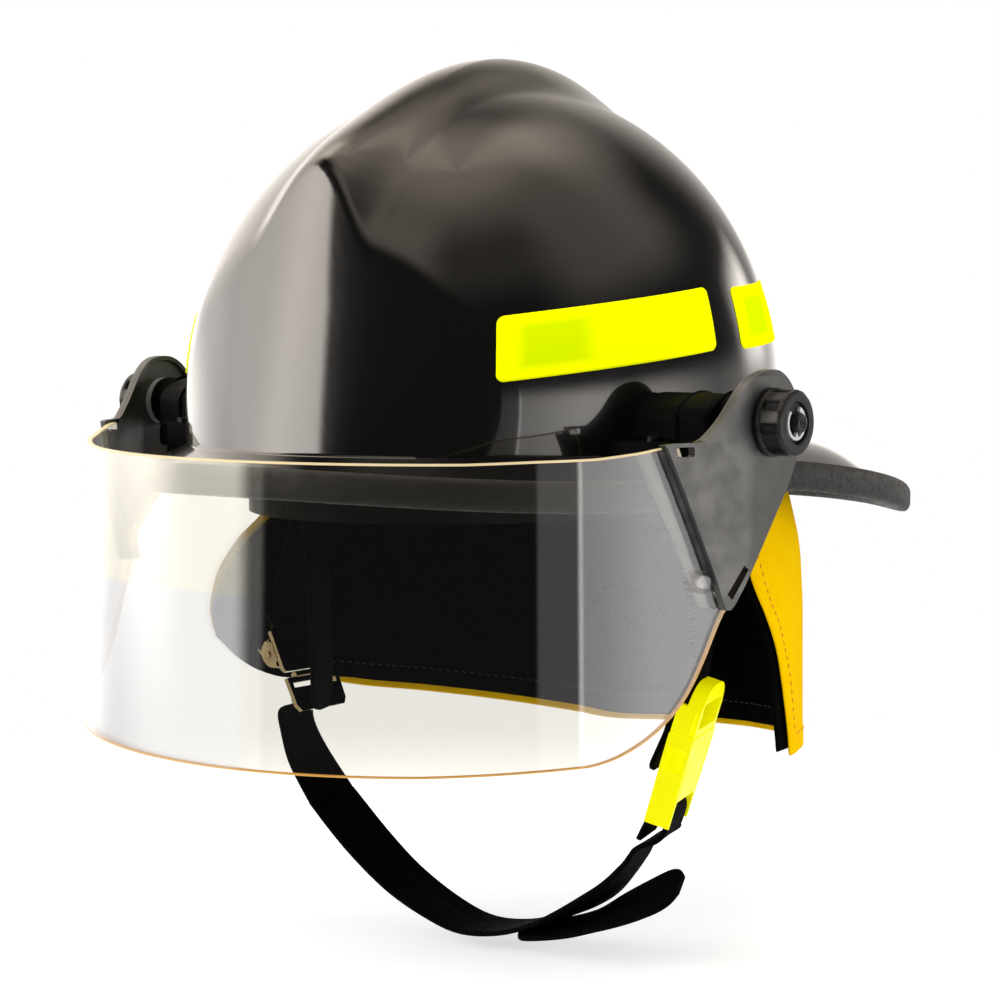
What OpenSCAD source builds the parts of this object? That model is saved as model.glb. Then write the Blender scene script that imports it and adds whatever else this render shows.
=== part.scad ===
// Fire helmet with a tilting face shield, ear and neck cover and chin strap.
// Frame: origin at the centre of the headband's lower edge, +Z up, -Y to the front, +X to the wearer's left.

/* [Shell] */
// Half width of the dome at its widest level
dome_half_w = 106.3; // [104:0.5:110]
// Half length of the dome at its widest level
dome_half_l = 125.3; // [123:0.5:129]
// Rise of the dome above its widest level
dome_rise = 121; // [116:0.5:126]
// Height of the dome's widest level above the headband's lower edge
dome_level = 40; // [38:0.5:42]
// Wall of the shell
shell_wall = 3; // [2.4:0.1:3.6]
// Height of the crown comb above the dome
comb_rise = 11; // [8:0.5:13]

/* [Brim] */
// Half width of the brim
brim_half_w = 132; // [129:0.5:134]
// Reach of the brim in front of the centre
brim_front = 148; // [146:0.5:151]
// Reach of the rear bill behind the centre
brim_rear = 205; // [195:1:212]
// Height of the rubber edge trim
trim_h = 11; // [9:0.5:12]

/* [Liner and headband] */
// Thickness of the impact foam
foam_t = 14; // [11:0.5:15]
// Half width of the head that the band fits
head_half_w = 78; // [74:0.5:79]
// Half length of the head that the band fits
head_half_l = 98; // [94:0.5:99]
// Height of the headband
band_h = 32; // [26:1:36]
// Wall of the headband
band_t = 1.6; // [1.2:0.1:2]
// Width of the crown straps
crown_w = 20; // [16:1:25]
// Outer diameter of the ratchet knob
dial_d = 30; // [26:1:34]

/* [Face shield] */
// Thickness of the lens
lens_t = 2; // [1.5:0.1:2.4]
// Gap between the brim's front edge and the lens
lens_gap = 5; // [4:0.5:7]
// Height of the lens at its middle
lens_h = 107; // [100:1:112]
// Thickness of the arm plates
arm_t = 2.5; // [2:0.1:3]
// Height of the hinge axis above the headband's lower edge
pivot_z = 37; // [36:0.5:39]
// Distance of the hinge axis in front of the centre
pivot_front = 30; // [28:0.5:32]
// Diameter of the pivot stud
stud_d = 8; // [6:0.5:9]
// Outer diameter of the pivot knobs
knob_d = 24; // [22:0.5:28]
// Height of the pivot knobs
knob_h = 10.5; // [9:0.5:13]
// Highest tilt of the face shield
tilt_max = 78; // [60:1:80]

/* [Ear and neck cover] */
// Length of the cover below the headband's lower edge at the nape
cover_drop = 103; // [88:1:108]
// Flare of the cover's hem beyond its top edge
cover_flare = 13; // [8:1:16]
// Thickness of each cloth layer
cloth_t = 1.5; // [1:0.1:2]

/* [Chin strap] */
// Width of the webbing
web_w = 25; // [22:0.5:27]
// Thickness of the webbing
web_t = 2; // [1.6:0.1:2.6]
// Lowest point of the chin strap below the headband's lower edge
chin_drop = 168; // [160:1:176]
// Travel of the socket half until the buckle lets go
release_travel = 24; // [18:1:28]

/* [Hidden] */

function sgn(v) = v < 0 ? -1 : 1;
function mix(a, b, t) = a + (b - a) * t;
function clamp01(v) = max(0, min(1, v));
function smooth(v) = let (t = clamp01(v)) t * t * (3 - 2 * t);
function unit(v) = v / max(norm(v), 0.000001);
function softmin(a, b, w) = let (h = clamp01(0.5 + (b - a) / (2 * w))) mix(b, a, h) - w * h * (1 - h);

// A closed tube through rings of equal even count; ring i lists its points once round.
module sweep(rings, looped = false) {
    k = len(rings[0]);
    n = len(rings);
    m = k / 2;
    pts = [for (r = rings) each r];
    last = looped ? n : n - 1;
    sides = [for (i = [0 : last - 1], j = [0 : k - 1])
        let (a = i * k + j, b = i * k + (j + 1) % k, c = ((i + 1) % n) * k + (j + 1) % k,
            d = ((i + 1) % n) * k + j)
        each [[a, d, c], [a, c, b]]];
    caps = looped ? [] : [for (j = [0 : m - 2])
        let (a = j, b = j + 1, c = k - 2 - j, d = k - 1 - j, s = (n - 1) * k)
        each [[a, b, c], [a, c, d], [s + a, s + c, s + b], [s + a, s + d, s + c]]];
    polyhedron(pts, concat(sides, caps), convexity = 8);
}

// A curve through points, with k steps between neighbours.
function hermite(a, b, c, d, t) = 0.5 * (2 * b + (c - a) * t + (2 * a - 5 * b + 4 * c - d) * t * t
    + (3 * b - a - 3 * c + d) * t * t * t);
function curve(p, k) = let (n = len(p)) concat([for (i = [0 : n - 2], j = [0 : k - 1])
    hermite(p[max(i - 1, 0)], p[i], p[i + 1], p[min(i + 2, n - 1)], j / k)], [p[n - 1]]);
// Webbing along a path of [x, y, z, share of its width, turn of its width about Z, dip of its front edge].
module webbing(path, w = web_w, t = web_t) {
    n = len(path);
    sweep([for (i = [0 : n - 1])
        let (p = path[i], a = path[max(i - 1, 0)], b = path[min(i + 1, n - 1)],
             d = unit([b.x - a.x, b.y - a.y, b.z - a.z]), q = [-sin(p[4]), cos(p[4]) * cos(p[5]),
                 sin(p[5])],
             s = unit(q - (q * d) * d), u = cross(d, s), c = [p.x, p.y, p.z], e = w / 2 * p[3])
        [c + e * s + t / 2 * u, c - e * s + t / 2 * u, c - e * s - t / 2 * u, c + e * s - t / 2 * u]]);
}
function flat(x, y, z, s = 1, turn = 0, dip = 0) = [x, y, z, s, turn, dip];

// Dome: an ellipsoid, a comb over the crown and a flat front face.
// A point is given by its plan angle (270 is the front) and its rise angle.
lean = 0.025;
face_slope = 0.26;
face_curl = 0.0005;
face_bow = 0.0043;
apex_rise = dome_rise - 29;
apex_front = dome_half_l - 25.3;

function comb_line(al) = lookup(al, [[0, 0.8], [43, 0.98], [50, 0.7], [58, 0.48], [66, 0.47],
    [74, 0.58], [84, 0.76],
    [94, 0.92], [105, 0.98], [112, 0.86], [119, 0.6], [128, 0.46], [142, 0.28], [158, 0.08], [170, 0],
        [180, 0]]);
function comb_foot(al) = lookup(al, [[0, 30], [43, 29], [60, 26], [78, 29], [96, 40], [125, 36],
    [180, 30]]);
function bump(q) = q >= 1 ? 0 : (1 + cos(180 * q)) / 2;
function comb(x, al, share) = share * comb_rise * comb_line(al) * bump(abs(x) / comb_foot(al));
function ray(th, up) = unit([dome_half_w * cos(up) * cos(th), dome_half_l * cos(up) * sin(th),
    dome_rise * sin(up)]);
function dome_reach(d, off) = 1 / norm([d.x / (dome_half_w - off), d.y / (dome_half_l - off),
    d.z / (dome_rise - off)]);
function face_reach(d, off) = let (
    w = face_bow + 0.0014 * clamp01((0.34 - d.z) / 0.48),
    a = -face_curl * d.z * d.z - w * d.x * d.x,
    b = d.y - face_slope * d.z + 2 * face_curl * apex_rise * d.z,
    c = apex_front - off + face_slope * apex_rise - face_curl * apex_rise * apex_rise)
    2 * c / (sqrt(b * b - 4 * a * c) - b);
function reach(d, off, share) = let (e = dome_reach(d, off), c = e + comb(e * d.x, atan2(d.z, -d.y), share))
    softmin(c, face_reach(d, off), 1.6);
function dome_pt(th, up, off = 0, share = 1) = let (d = ray(th, up), p = d * reach(d, off, share))
    [p.x, p.y + lean * p.z, p.z + dome_level];

// Brim: an oval with a fuller front and a longer rear, whose edge rises and falls.
function oval(th, w, l, n) = [w * sgn(cos(th)) * pow(abs(cos(th)), 2 / n),
    l * sgn(sin(th)) * pow(abs(sin(th)), 2 / n)];
function edge_xy(th, off = 0) = sin(th) < 0 ? oval(th, brim_half_w - off, brim_front - off, 2.3)
    : oval(th, brim_half_w - off, brim_rear - off, 2.3 + 0.25 * abs(sin(th)));
function edge_z(y) = let (f = dome_level - 27.6 + 0.00066 * (y + 67) * (y + 67), t = y - 8,
    r = dome_level - 24 - 0.09 * t - 0.0003 * t * t)
    softmin(f, r, 3) + bill_lift * pow(max(0, y + bill_arc - brim_rear) / bill_arc, 1.8);
bill_lift = 10.4;
bill_arc = 65;
base_up = -7.2;
trim_lip = 8;
shell_edge_in = 2.4;
groove_gap = 0.3;
shell_n = 80;
brim_steps = 5;
rim_zone = trim_lip + 0.8;
dome_rings = [88, 83, 77, 71, 65, 59, 53, 47, 41, 35, 29, 23, 17, 11, 5, -1, base_up];
function edge_out(th) = let (a = edge_xy(th - 0.5), b = edge_xy(th + 0.5), t = unit([b.x - a.x,
    b.y - a.y])) [t.y, -t.x];
function droop(th) = 0.92 + 1.2 * smooth((sin(th) - 0.08) / 0.4);
function brim_pt(th, s, under = 0) = let (a = dome_pt(th, base_up, under), g = edge_xy(th),
    o = edge_out(th),
    e = g - shell_edge_in * o, f = g - rim_zone * o,
    z0 = a.z - under * 0.4, z1 = edge_z(g.y) + shell_wall / 2 - under, q = min(1, s / 0.8))
    s > 0.9 ? [e.x, e.y, z1] : [mix(a.x, f.x, q), mix(a.y, f.y, q), mix(z0, z1 + 0.2, pow(q, droop(th)))];
function shell_ring(j, under) = [for (i = [0 : shell_n - 1]) let (th = i * 360 / shell_n)
    j < len(dome_rings) ? dome_pt(th, dome_rings[j], under)
        : brim_pt(th, (j - len(dome_rings) + 1) / brim_steps, under)];

// A wall between an outer and an inner stack of rings, closed by a point at the top.
module capped_wall(outer, inner, top, under_top) {
    n = len(outer[0]);
    m = len(outer);
    s = m * n;
    t = 2 * s;
    pts = concat([for (r = outer) each r], [for (r = inner) each r], [top, under_top]);
    skin = [for (j = [0 : m - 2], i = [0 : n - 1])
        let (a = j * n + i, b = a + n, d = j * n + (i + 1) % n, c = d + n)
        each [[a, d, c], [a, c, b], [s + a, s + c, s + d], [s + a, s + b, s + c]]];
    rim = [for (i = [0 : n - 1]) let (a = (m - 1) * n + i, d = (m - 1) * n + (i + 1) % n)
        each [[a, d, s + d], [a, s + d, s + a]]];
    crown = [for (i = [0 : n - 1]) let (k = (i + 1) % n) each [[t, k, i], [t + 1, s + i, s + k]]];
    polyhedron(pts, concat(skin, rim, crown), convexity = 8);
}

module outer_shell() {
    m = len(dome_rings) + brim_steps;
    color([0.07, 0.07, 0.07])
    capped_wall([for (j = [0 : m - 1]) shell_ring(j, 0)], [for (j = [0 : m - 1]) shell_ring(j, shell_wall)],
        dome_pt(0, 90), dome_pt(0, 90, shell_wall));
}

// Edge trim: a rubber channel pushed over the brim's edge.
trim_n = shell_n;
trim_shape = let (h = trim_h / 2, g = shell_wall / 2 + groove_gap, w = trim_lip)
    [[-w, g], [-w, g + 1.6], [-w + 2, h - 0.4], [-2, h], [-0.6, h - 0.8], [0, h - 2.5],
     [0, 2.5 - h], [-0.6, 0.8 - h], [-2, -h], [-w + 2, 0.4 - h], [-w, -g - 1.6], [-w, -g], [-2, -g],
         [-2, g]];
module edge_trim() {
    color([0.12, 0.12, 0.12])
    sweep([for (i = [0 : trim_n - 1]) let (th = i * 360 / trim_n, e = edge_xy(th), o = edge_out(th),
        z = edge_z(e.y))
        [for (p = trim_shape) [e.x + p[0] * o.x, e.y + p[0] * o.y, z + p[1]]]], looped = true);
}

// Impact foam under the dome.
foam_n = 60;
foam_in = shell_wall + 1;
foam_rings = [86, 76, 65, 53, 41, 29, 17, 6, -2.6];
function foam_ring(up, off) = [for (i = [0 : foam_n - 1]) dome_pt(i * 360 / foam_n, up, off, 0)];
module impact_liner() {
    color([0.2, 0.2, 0.21])
    capped_wall([for (u = foam_rings) foam_ring(u, foam_in)], [for (u = foam_rings) foam_ring(u,
        foam_in + foam_t)],
        dome_pt(0, 90, foam_in, 0), dome_pt(0, 90, foam_in + foam_t, 0));
}

// Reflective strips on the sides of the dome.
decal_gap = 0.3;
decal_t = 0.5;
decal_r = 3;
decal_n = 24;
function decal_squeeze(s, w, h) = let (e = min(s, 1 - s) * w, q = clamp01(1 - e / decal_r))
    (h - 2 * decal_r * (1 - sqrt(1 - q * q * 0.98))) / h;
module decal(th0, th1, low0, low1, high0, high1) {
    w = abs(th1 - th0) * 2.05;
    color([0.78, 0.84, 0.2])
    sweep([for (i = [0 : decal_n])
        let (s = smooth(i / decal_n) * 0.4 + i / decal_n * 0.6, th = mix(th0, th1, s), lo = mix(low0, low1,
            s),
             hi = mix(high0, high1, s), c = (lo + hi) / 2, g = (hi - lo) / 2 * decal_squeeze(s, w, 23.5))
        concat([for (v = [1 : -0.5 : -1]) dome_pt(th, c + g * v, -decal_gap - decal_t)],
                            [for (v = [-1 : 0.5 : 1]) dome_pt(th, c + g * v, -decal_gap)])]);
}
function rise_of(z) = asin((z - dome_level) / dome_rise);
module decal_left_front() decal(-46.6, -0.3, rise_of(50.7), rise_of(60.8), rise_of(73.4), rise_of(83.6));
module decal_left_rear() decal(8.6, 46, rise_of(60.6), rise_of(64), rise_of(83.3), rise_of(87));
module decal_right_front() mirror([1, 0, 0]) decal_left_front();
module decal_right_rear() mirror([1, 0, 0]) decal_left_rear();

// Headband: an oval band, open at the nape, where the yoke takes over on a round arc.
head_gap = 2.5;
band_w = head_half_w + head_gap;
band_l = head_half_l + head_gap;
nape_r = band_w * band_w / band_l;
nape_y = band_l - nape_r;
function ring_xy(w, l, a0, a1, n) = [for (i = [0 : n]) let (a = mix(a0, a1, i / n)) [w * cos(a),
    l * sin(a)]];
function ring_band(w, l, t, a0, a1, n) = concat(ring_xy(w + t, l + t, a0, a1, n), ring_xy(w, l, a1, a0, n));
module headband() {
    color([0.12, 0.12, 0.13])
    linear_extrude(band_h) polygon(ring_band(band_w, band_l, band_t, 116, 424, 100));
}
module brow_pad() {
    color([0.25, 0.25, 0.27]) translate([0, 0, 1])
    linear_extrude(band_h - 13) polygon(ring_band(head_half_w + 0.1, head_half_l + 0.1, head_gap - 0.25,
        196, 344, 60));
}

// Crown straps: two webs inside the foam, the cross one passing below the long one, and a pad below both.
crown_top = dome_level + dome_rise - 27;
strap_thick = 1.4;
function arch(w, h, z0, foot, t) = let (a = [for (i = [0 : 40]) let (q = i * 180 / 40) [w * cos(q),
    z0 + h * sin(q)]],
    b = [for (i = [40 : -1 : 0]) let (q = i * 180 / 40) [(w - t) * cos(q), z0 + (h - t) * sin(q)]])
    concat([[w, foot]], a, [[-w, foot], [t - w, foot]], b, [[w - t, foot]]);
module crown_strap_long() {
    color([0.15, 0.15, 0.16]) translate([-crown_w / 2, 0, 0]) rotate([90, 0, 90])
    linear_extrude(crown_w) polygon(arch(band_l - 1.9, crown_top - 36, 36, band_h - 11, strap_thick));
}
module crown_strap_cross() {
    color([0.15, 0.15, 0.16]) translate([0, crown_w / 2, 0]) rotate([90, 0, 0])
    linear_extrude(crown_w) polygon(arch(band_w - 1.2, crown_top - strap_thick - 1 - 36, 36, band_h - 11,
        strap_thick));
}
module crown_pad() {
    color([0.25, 0.25, 0.27]) translate([0, 0, crown_top - 2 * strap_thick - 63.3]) intersection() {
        difference() {
            sphere(62, $fn = 80);
            sphere(59, $fn = 80);
        }
        translate([0, 0, 40]) cylinder(h = 40, r = 25, $fn = 60);
    }
}
module strap_hangers() {
    color([0.1, 0.1, 0.1])
    intersection() {
        for (a = [32, 148, 212, 328]) let (p = [(band_w + band_t + 0.3) * cos(a),
            (band_l + band_t + 0.3) * sin(a)],
            q = atan2(p.y / pow(band_l, 2), p.x / pow(band_w, 2)))
            translate([p.x, p.y, 0]) rotate(q) {
                translate([0.6, -7, 12]) cube([2.2, 14, 19.6]);
                translate([0.6, -7, 29.2]) cube([40, 14, 2.4]);
            }
        linear_extrude(60) polygon(ring_xy(dome_half_w - shell_wall - 0.9, dome_half_l - shell_wall - 0.9,
            0, 357, 119));
    }
}

// Nape: a yoke on a round arc, a housing, two toothed tails and the dial that draws them in.
rack_r = nape_r + 4.2;
dial_z = 16;
module arc_ring(r, t, z0, h, a0, a1) {
    translate([0, nape_y, z0]) rotate([0, 0, a0]) rotate_extrude(angle = a1 - a0, $fn = 160)
    translate([r, 0]) square([t, h]);
}
module yoke_front(low) {
    polygon([[-60, 8], [-46, 2], [-30, -10], [-14, low], [14, low], [30, -10], [46, 2], [60, 8],
        [60, 28], [24, 31],
        [-24, 31], [-60, 28]]);
}
module nape_yoke() {
    color([0.12, 0.12, 0.13])
    difference() {
        intersection() {
            arc_ring(nape_r + 2.7, 1.6, -30, 62, 50, 130);
            translate([0, 140, 0]) rotate([90, 0, 0]) linear_extrude(100) yoke_front(-20);
        }
        translate([0, nape_y + nape_r, dial_z]) rotate([90, 0, 0]) cylinder(h = 20, r = 2.6, center = true,
            $fn = 32);
    }
}
module nape_pad() {
    color([0.25, 0.25, 0.27])
    intersection() {
        arc_ring(nape_r + 0.4, 2, -30, 62, 58, 122);
        translate([0, 140, 0]) rotate([90, 0, 0]) linear_extrude(100)
        polygon([[-28, -6], [-12, -17], [12, -17], [28, -6], [28, 3], [-28, 3]]);
    }
}
module ratchet_housing() {
    color([0.1, 0.1, 0.1])
    difference() {
        arc_ring(nape_r + 4.6, 4, 3, 26, 72, 108);
        arc_ring(nape_r + 4, 3.1, 6, 20, 60, 120);
        translate([0, nape_y + nape_r + 12, dial_z]) rotate([90, 0, 0]) cylinder(h = 12, r = 3.05,
            center = true, $fn = 32);
    }
}
pinion_r = 3.4;
tooth_pitch = 45 * pinion_r / (rack_r + 1.6);
module rack(side) {
    z = side > 0 ? dial_z + pinion_r + 0.6 : dial_z - pinion_r - 4.6;
    wide = side > 0 ? 46 : 83;
    slim = side > 0 ? 61.4 : 82;
    color([0.16, 0.16, 0.17]) difference() {
        arc_ring(rack_r + 0.8, 1.6, dial_z - 7, 14, wide, wide + 51);
        arc_ring(rack_r - 2, 7, dial_z - 10, z - dial_z + 10, slim, slim + 36.6);
        arc_ring(rack_r - 2, 7, z + 4, dial_z + 6 - z, slim, slim + 36.6);
        for (k = [0 : 10]) let (a = 90 + side * (k * tooth_pitch - 9))
            translate([0, nape_y, side > 0 ? z : z + 4]) rotate([0, 0, a]) translate([rack_r + 1.6, 0, 0])
            cube([4, 1.2, 2], center = true);
    }
}
module rack_left() rack(1);
module rack_right() rack(-1);
module ratchet_dial() {
    y0 = nape_y + nape_r + 8.9;
    color([0.1, 0.1, 0.1]) translate([0, y0, dial_z]) rotate([-90, 0, 0]) {
        difference() {
            cylinder(h = 4.8, d = dial_d, $fn = 60);
            for (k = [0 : 11]) rotate([0, 0, k * 30]) translate([dial_d / 2 + 1.2, 0, -1]) cylinder(h = 8,
                r = 2.4, $fn = 20);
            translate([0, 0, 3.6]) cylinder(h = 3, r = 8, $fn = 40);
        }
        translate([0, 0, -1.9]) cylinder(h = 2.4, r = 3, $fn = 32);
        translate([0, 0, -4.3]) cylinder(h = 2.5, r = pinion_r - 0.6, $fn = 32);
        for (k = [0 : 7]) rotate([0, 0, k * 45 + 22.5]) translate([pinion_r - 0.7, 0, -3.2]) cube([1, 0.9,
            2], center = true);
        translate([0, 0, -6.4]) cylinder(h = 2.2, r = 2.5, $fn = 32);
    }
}

// Ear and neck cover: two cloth layers from one side edge round the nape to the other.
cover_top = 28;
cover_cols = 46;
cover_rows = 8;
function cover_low(u) = -cover_drop + lookup(u, [[0, 10], [0.15, 7], [0.5, 0], [0.8, 17], [0.91, 28],
    [0.975, 41], [1, 50]]);
function cover_near(v) = lookup(v, [[0, -5], [0.17, -2.5], [0.45, 2], [0.59, 8], [0.72, 12], [1, 16.5]]);
function cover_far(v) = lookup(v, [[0, 172], [0.3, 178], [0.44, 181.6], [0.6, 188.8], [0.74, 194.8],
    [0.89, 197.8], [1, 196.3]]);
function cover_out(z) = lookup(z, [[-90, -0.4], [-40, 0], [-20, -1], [4, -5], [14, -9], [22, -13.6],
    [28, -14.6]]) * cover_flare / 13;
function fold(th, v) = v * v * (1.3 * sin(3 * th + 40) + 0.9 * sin(7 * th) + 0.5 * sin(13 * th + 60 * v));
function cover_pt(u, v, off, ahead = 0, shorter = 0) =
    let (th = mix(cover_near(v) - ahead * v, cover_far(v) + ahead * v * 0.3, u),
         z = mix(cover_top, cover_low(u) + shorter, v), o = cover_out(z), c = mix(1, 7,
             clamp01((cover_top - z) / 40)),
         far = 10.5 * smooth((th - 160) / 28) * smooth(v / 0.7), g = fold(th, v) - off)
    [(115 + o + far + g) * cos(th), c + (127 + o * 0.56 + g) * sin(th), z];
module cover_sheet(off, t, ahead = 0, shorter = 0, v0 = 0, v1 = 1, rows = cover_rows) {
    sweep([for (i = [0 : cover_cols]) let (u = i / cover_cols)
        concat([for (j = [0 : rows]) cover_pt(u, mix(v0, v1, j / rows), off, ahead, shorter)],
               [for (j = [rows : -1 : 0]) cover_pt(u, mix(v0, v1, j / rows), off + t, ahead, shorter)])]);
}
module cover_outer() color([0.9, 0.6, 0.1]) cover_sheet(0, cloth_t);
module cover_liner() color([0.08, 0.08, 0.08]) cover_sheet(cloth_t + 0.5, cloth_t, 3, 3);
module cover_tape() color([0.1, 0.1, 0.1]) cover_sheet(2 * cloth_t + 0.8, 1.2, 0, 0, 0.01, 0.1, 2);

// Face shield: a cone lens, arms outside it, clamp strips inside it, all turning on the two studs.
lens_in = brim_half_w + 13;
lens_y = lens_in - brim_front - lens_gap;
lens_top = 27;
lens_low = -55 - (lens_h - 80);
cone_k = 3 / 109;
module cone_wall(r, t, z0, z1) {
    rotate_extrude($fn = 240)
    polygon([[r + cone_k * (lens_top - z0), z0], [r + t + cone_k * (lens_top - z0), z0],
             [r + t + cone_k * (lens_top - z1), z1], [r + cone_k * (lens_top - z1), z1]]);
}
module side_cut(pts, x0 = -200, x1 = 200) {
    translate([x0, 0, 0]) rotate([90, 0, 90]) linear_extrude(x1 - x0) polygon(pts);
}
lens_side = [[-170, 24.8], [-125, 25.2], [-110, 26], [-94, 26.5], [-73.8, 30], [-68, 30], [-50.2, -24],
    [-52.6, -28], [-54.8, -31.4], [-60, -43], [-67, -56], [-74, -63.5], [-81, -68.7], [-89, -74.5],
        [-96.5, -77.3], [-115, -78.4],
    [-135, -80], [-170, lens_low + 0.5]];
module visor_lens() {
    color([0.95, 0.93, 0.75, 0.35])
    intersection() {
        translate([0, lens_y, 0]) cone_wall(lens_in, lens_t, lens_low, 34);
        side_cut(lens_side);
    }
}
py = -pivot_front;
pz = pivot_z;
arm_head = 18.5;
arm_in = sqrt(pow(lens_in + lens_t + 0.3, 2) - pow(py - 12.55 - lens_y, 2)) + 0.81;
arm_side = [for (p = [[-46, -6.4], [-42, -5.9], [-33, -5.8], [-30, -4.4], [-25, 0], [-21, 4.4],
    [-16, 10.6], [-11, 15],
    [-5, 17.5], [1, 18.2], [6, 17.5], [11, 14.9], [15, 10.8], [17.6, 5.6], [18.4, 0], [18, -7], [16, -15.5],
    [10, -24.5], [-14, -53], [-21, -63], [-24.6, -63.2], [-27, -55], [-45, -7.5]]) [p[0] + py, p[1] + pz]];
module arm_shape() side_cut(arm_side, 0, 200);
module arm_slot() {
    side_cut([for (p = [[-42, -10.6], [-35.5, -10.6], [-35.5, -7.2],
        [-42, -7.2]]) [p[0] + py, p[1] + pz]], 0, 200);
    side_cut([for (p = [[-23.6, -58], [-21.6, -60], [-14, -50],
        [-16, -48.4]]) [p[0] + py, p[1] + pz]], 0, 200);
}
module visor_arm_left() {
    color([0.08, 0.08, 0.08])
    difference() {
        intersection() {
            arm_shape();
            union() {
                intersection() {
                    translate([0, lens_y, 0]) cone_wall(lens_in + lens_t + 0.3, arm_t - 0.1, -60, 80);
                    translate([0, -170, -80]) cube([200, 170 + py - 12.5, 200]);
                }
                translate([arm_in, py - 12.6, -60]) cube([arm_t, 60, 160]);
            }
        }
        arm_slot();
        translate([100, py, pz]) rotate([0, 90, 0]) cylinder(h = 80, r = stud_d / 2 + 0.05, $fn = 48);
    }
}
module visor_arm_right() mirror([1, 0, 0]) visor_arm_left();
module visor_clamp_left() {
    color([0.3, 0.3, 0.32])
    intersection() {
        translate([0, lens_y, 0]) cone_wall(lens_in - 2.4, 2, -60, 60);
        side_cut([for (p = [[-49.5, -9], [-41, -9.5], [-18.6, -62.5],
            [-28.2, -62.5]]) [p[0] + py, p[1] + pz]], 0, 200);
    }
}
module visor_clamp_right() mirror([1, 0, 0]) visor_clamp_left();
button_r = lens_in + lens_t + cone_k * (lens_top + 16.3) + 0.19;
button_x = sqrt(pow(button_r, 2) - pow(-61.5 - lens_y, 2));
module lens_buttons() {
    color([0.9, 0.9, 0.85])
    for (s = [0, 1]) mirror([s, 0, 0])
        translate([button_x, -61.5, -16.3]) rotate([0, 0, asin((-61.5 - lens_y) / button_r)]) rotate([0, 90, 0])
        translate([0, 0, 0.1]) cylinder(h = 1.6, r1 = 4, r2 = 3.2, $fn = 40);
}

// Pivots: a hooded bracket on the brim, a stud, a friction washer, a lobed knob and a split ring.
bracket_out = arm_in - 2.8;
bracket_hub = 9.5;
bracket_half = 16;
foot_x = brim_half_w - 14.4;
screw_x = foot_x - 6.1;
module brim_cutter() {
    sweep([for (th = [328.5 : 4.5 : 364.5]) let (a = dome_pt(th, base_up), e = edge_xy(th, shell_edge_in),
        top = concat([[a.x - 40, a.y, a.z + 0.8]], [for (k = [0 : 5]) let (p = brim_pt(th, k / 5)) [p.x,
            p.y, p.z + 0.35]],
            [[e.x + 40, e.y, edge_z(e.y) + 2]]))
        concat(top, [for (k = [len(top) - 1 : -1 : 0]) [top[k].x, top[k].y, -10]])]);
}
knob_in = arm_in + arm_t + 0.2;
knob_out = knob_in + knob_h;
recess_d = 1.8;
stud_tip = 3.2;
module along_x(x) translate([x, py, pz]) rotate([0, 90, 0]) children();
module pivot_bracket_left() {
    color([0.07, 0.07, 0.07])
    difference() {
        union() {
            along_x(90) cylinder(h = bracket_out - 90, r = bracket_hub, $fn = 60);
            translate([80, py - 25, 8]) cube([foot_x - 80, 50, 22]);
            intersection() {
                translate([80, py - bracket_half, 20]) cube([brim_half_w - 81.5, 2 * bracket_half, 30]);
                translate([80, py, pz + bracket_hub - 24]) rotate([0, 90, 0]) cylinder(h = 80, r = 24,
                    $fn = 120);
            }
        }
        translate([-41, 0, -1]) cylinder(h = 90, r = dome_half_w + 42.4, $fn = 360);
        brim_cutter();
        along_x(100) cylinder(h = 60, r = stud_d / 2 + 0.01, $fn = 48);
        for (s = [-1, 1]) translate([screw_x, py + s * 20.6, 15]) cylinder(h = 30, r = 1.65, $fn = 24);
    }
}
module pivot_bracket_right() mirror([1, 0, 0]) pivot_bracket_left();
module bracket_screws() {
    color([0.35, 0.35, 0.36])
    for (m = [0, 1]) mirror([m, 0, 0]) for (s = [-1, 1]) translate([screw_x, py + s * 20.6, 0]) {
        translate([0, 0, 25]) cylinder(h = 5.1, r = 1.6, $fn = 24);
        difference() {
            translate([0, 0, 30.05]) cylinder(h = 1.8, r = 3, $fn = 32);
            translate([-2, -0.4, 31.1]) cube([4, 0.8, 1.5]);
        }
    }
}
module pivot_stud_left() {
    color([0.55, 0.55, 0.57])
    along_x(118) {
        cylinder(h = knob_out - recess_d - 118, r = stud_d / 2, $fn = 48);
        translate([0, 0, knob_out - recess_d - 118.1]) cylinder(h = recess_d + 2, r = stud_tip, $fn = 40);
    }
}
module pivot_stud_right() mirror([1, 0, 0]) pivot_stud_left();
module friction_washer_left() {
    color([0.5, 0.5, 0.5])
    along_x(bracket_out + 0.1) difference() {
        cylinder(h = arm_in - bracket_out - 0.2, r = bracket_hub - 0.1, $fn = 60);
        translate([0, 0, -1]) cylinder(h = 5, r = stud_d / 2 + 0.02, $fn = 48);
    }
}
module friction_washer_right() mirror([1, 0, 0]) friction_washer_left();
module visor_knob_left() {
    color([0.08, 0.08, 0.08])
    along_x(knob_in) difference() {
        union() {
            cylinder(h = 2, r = knob_d / 2, $fn = 64);
            difference() {
                cylinder(h = knob_h, r = knob_d / 2 - 0.9, $fn = 64);
                for (k = [0 : 7]) rotate([0, 0, k * 45 + 10]) translate([knob_d / 2 + 2.1, 0, 2.6])
                    cylinder(h = knob_h, r = 4, $fn = 32);
            }
        }
        translate([0, 0, -1]) cylinder(h = knob_h + 2, r = stud_d / 2 + 0.05, $fn = 48);
        translate([0, 0, knob_h - recess_d]) cylinder(h = recess_d + 1, r = 7.4, $fn = 48);
    }
}
module visor_knob_right() mirror([1, 0, 0]) visor_knob_left();
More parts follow.
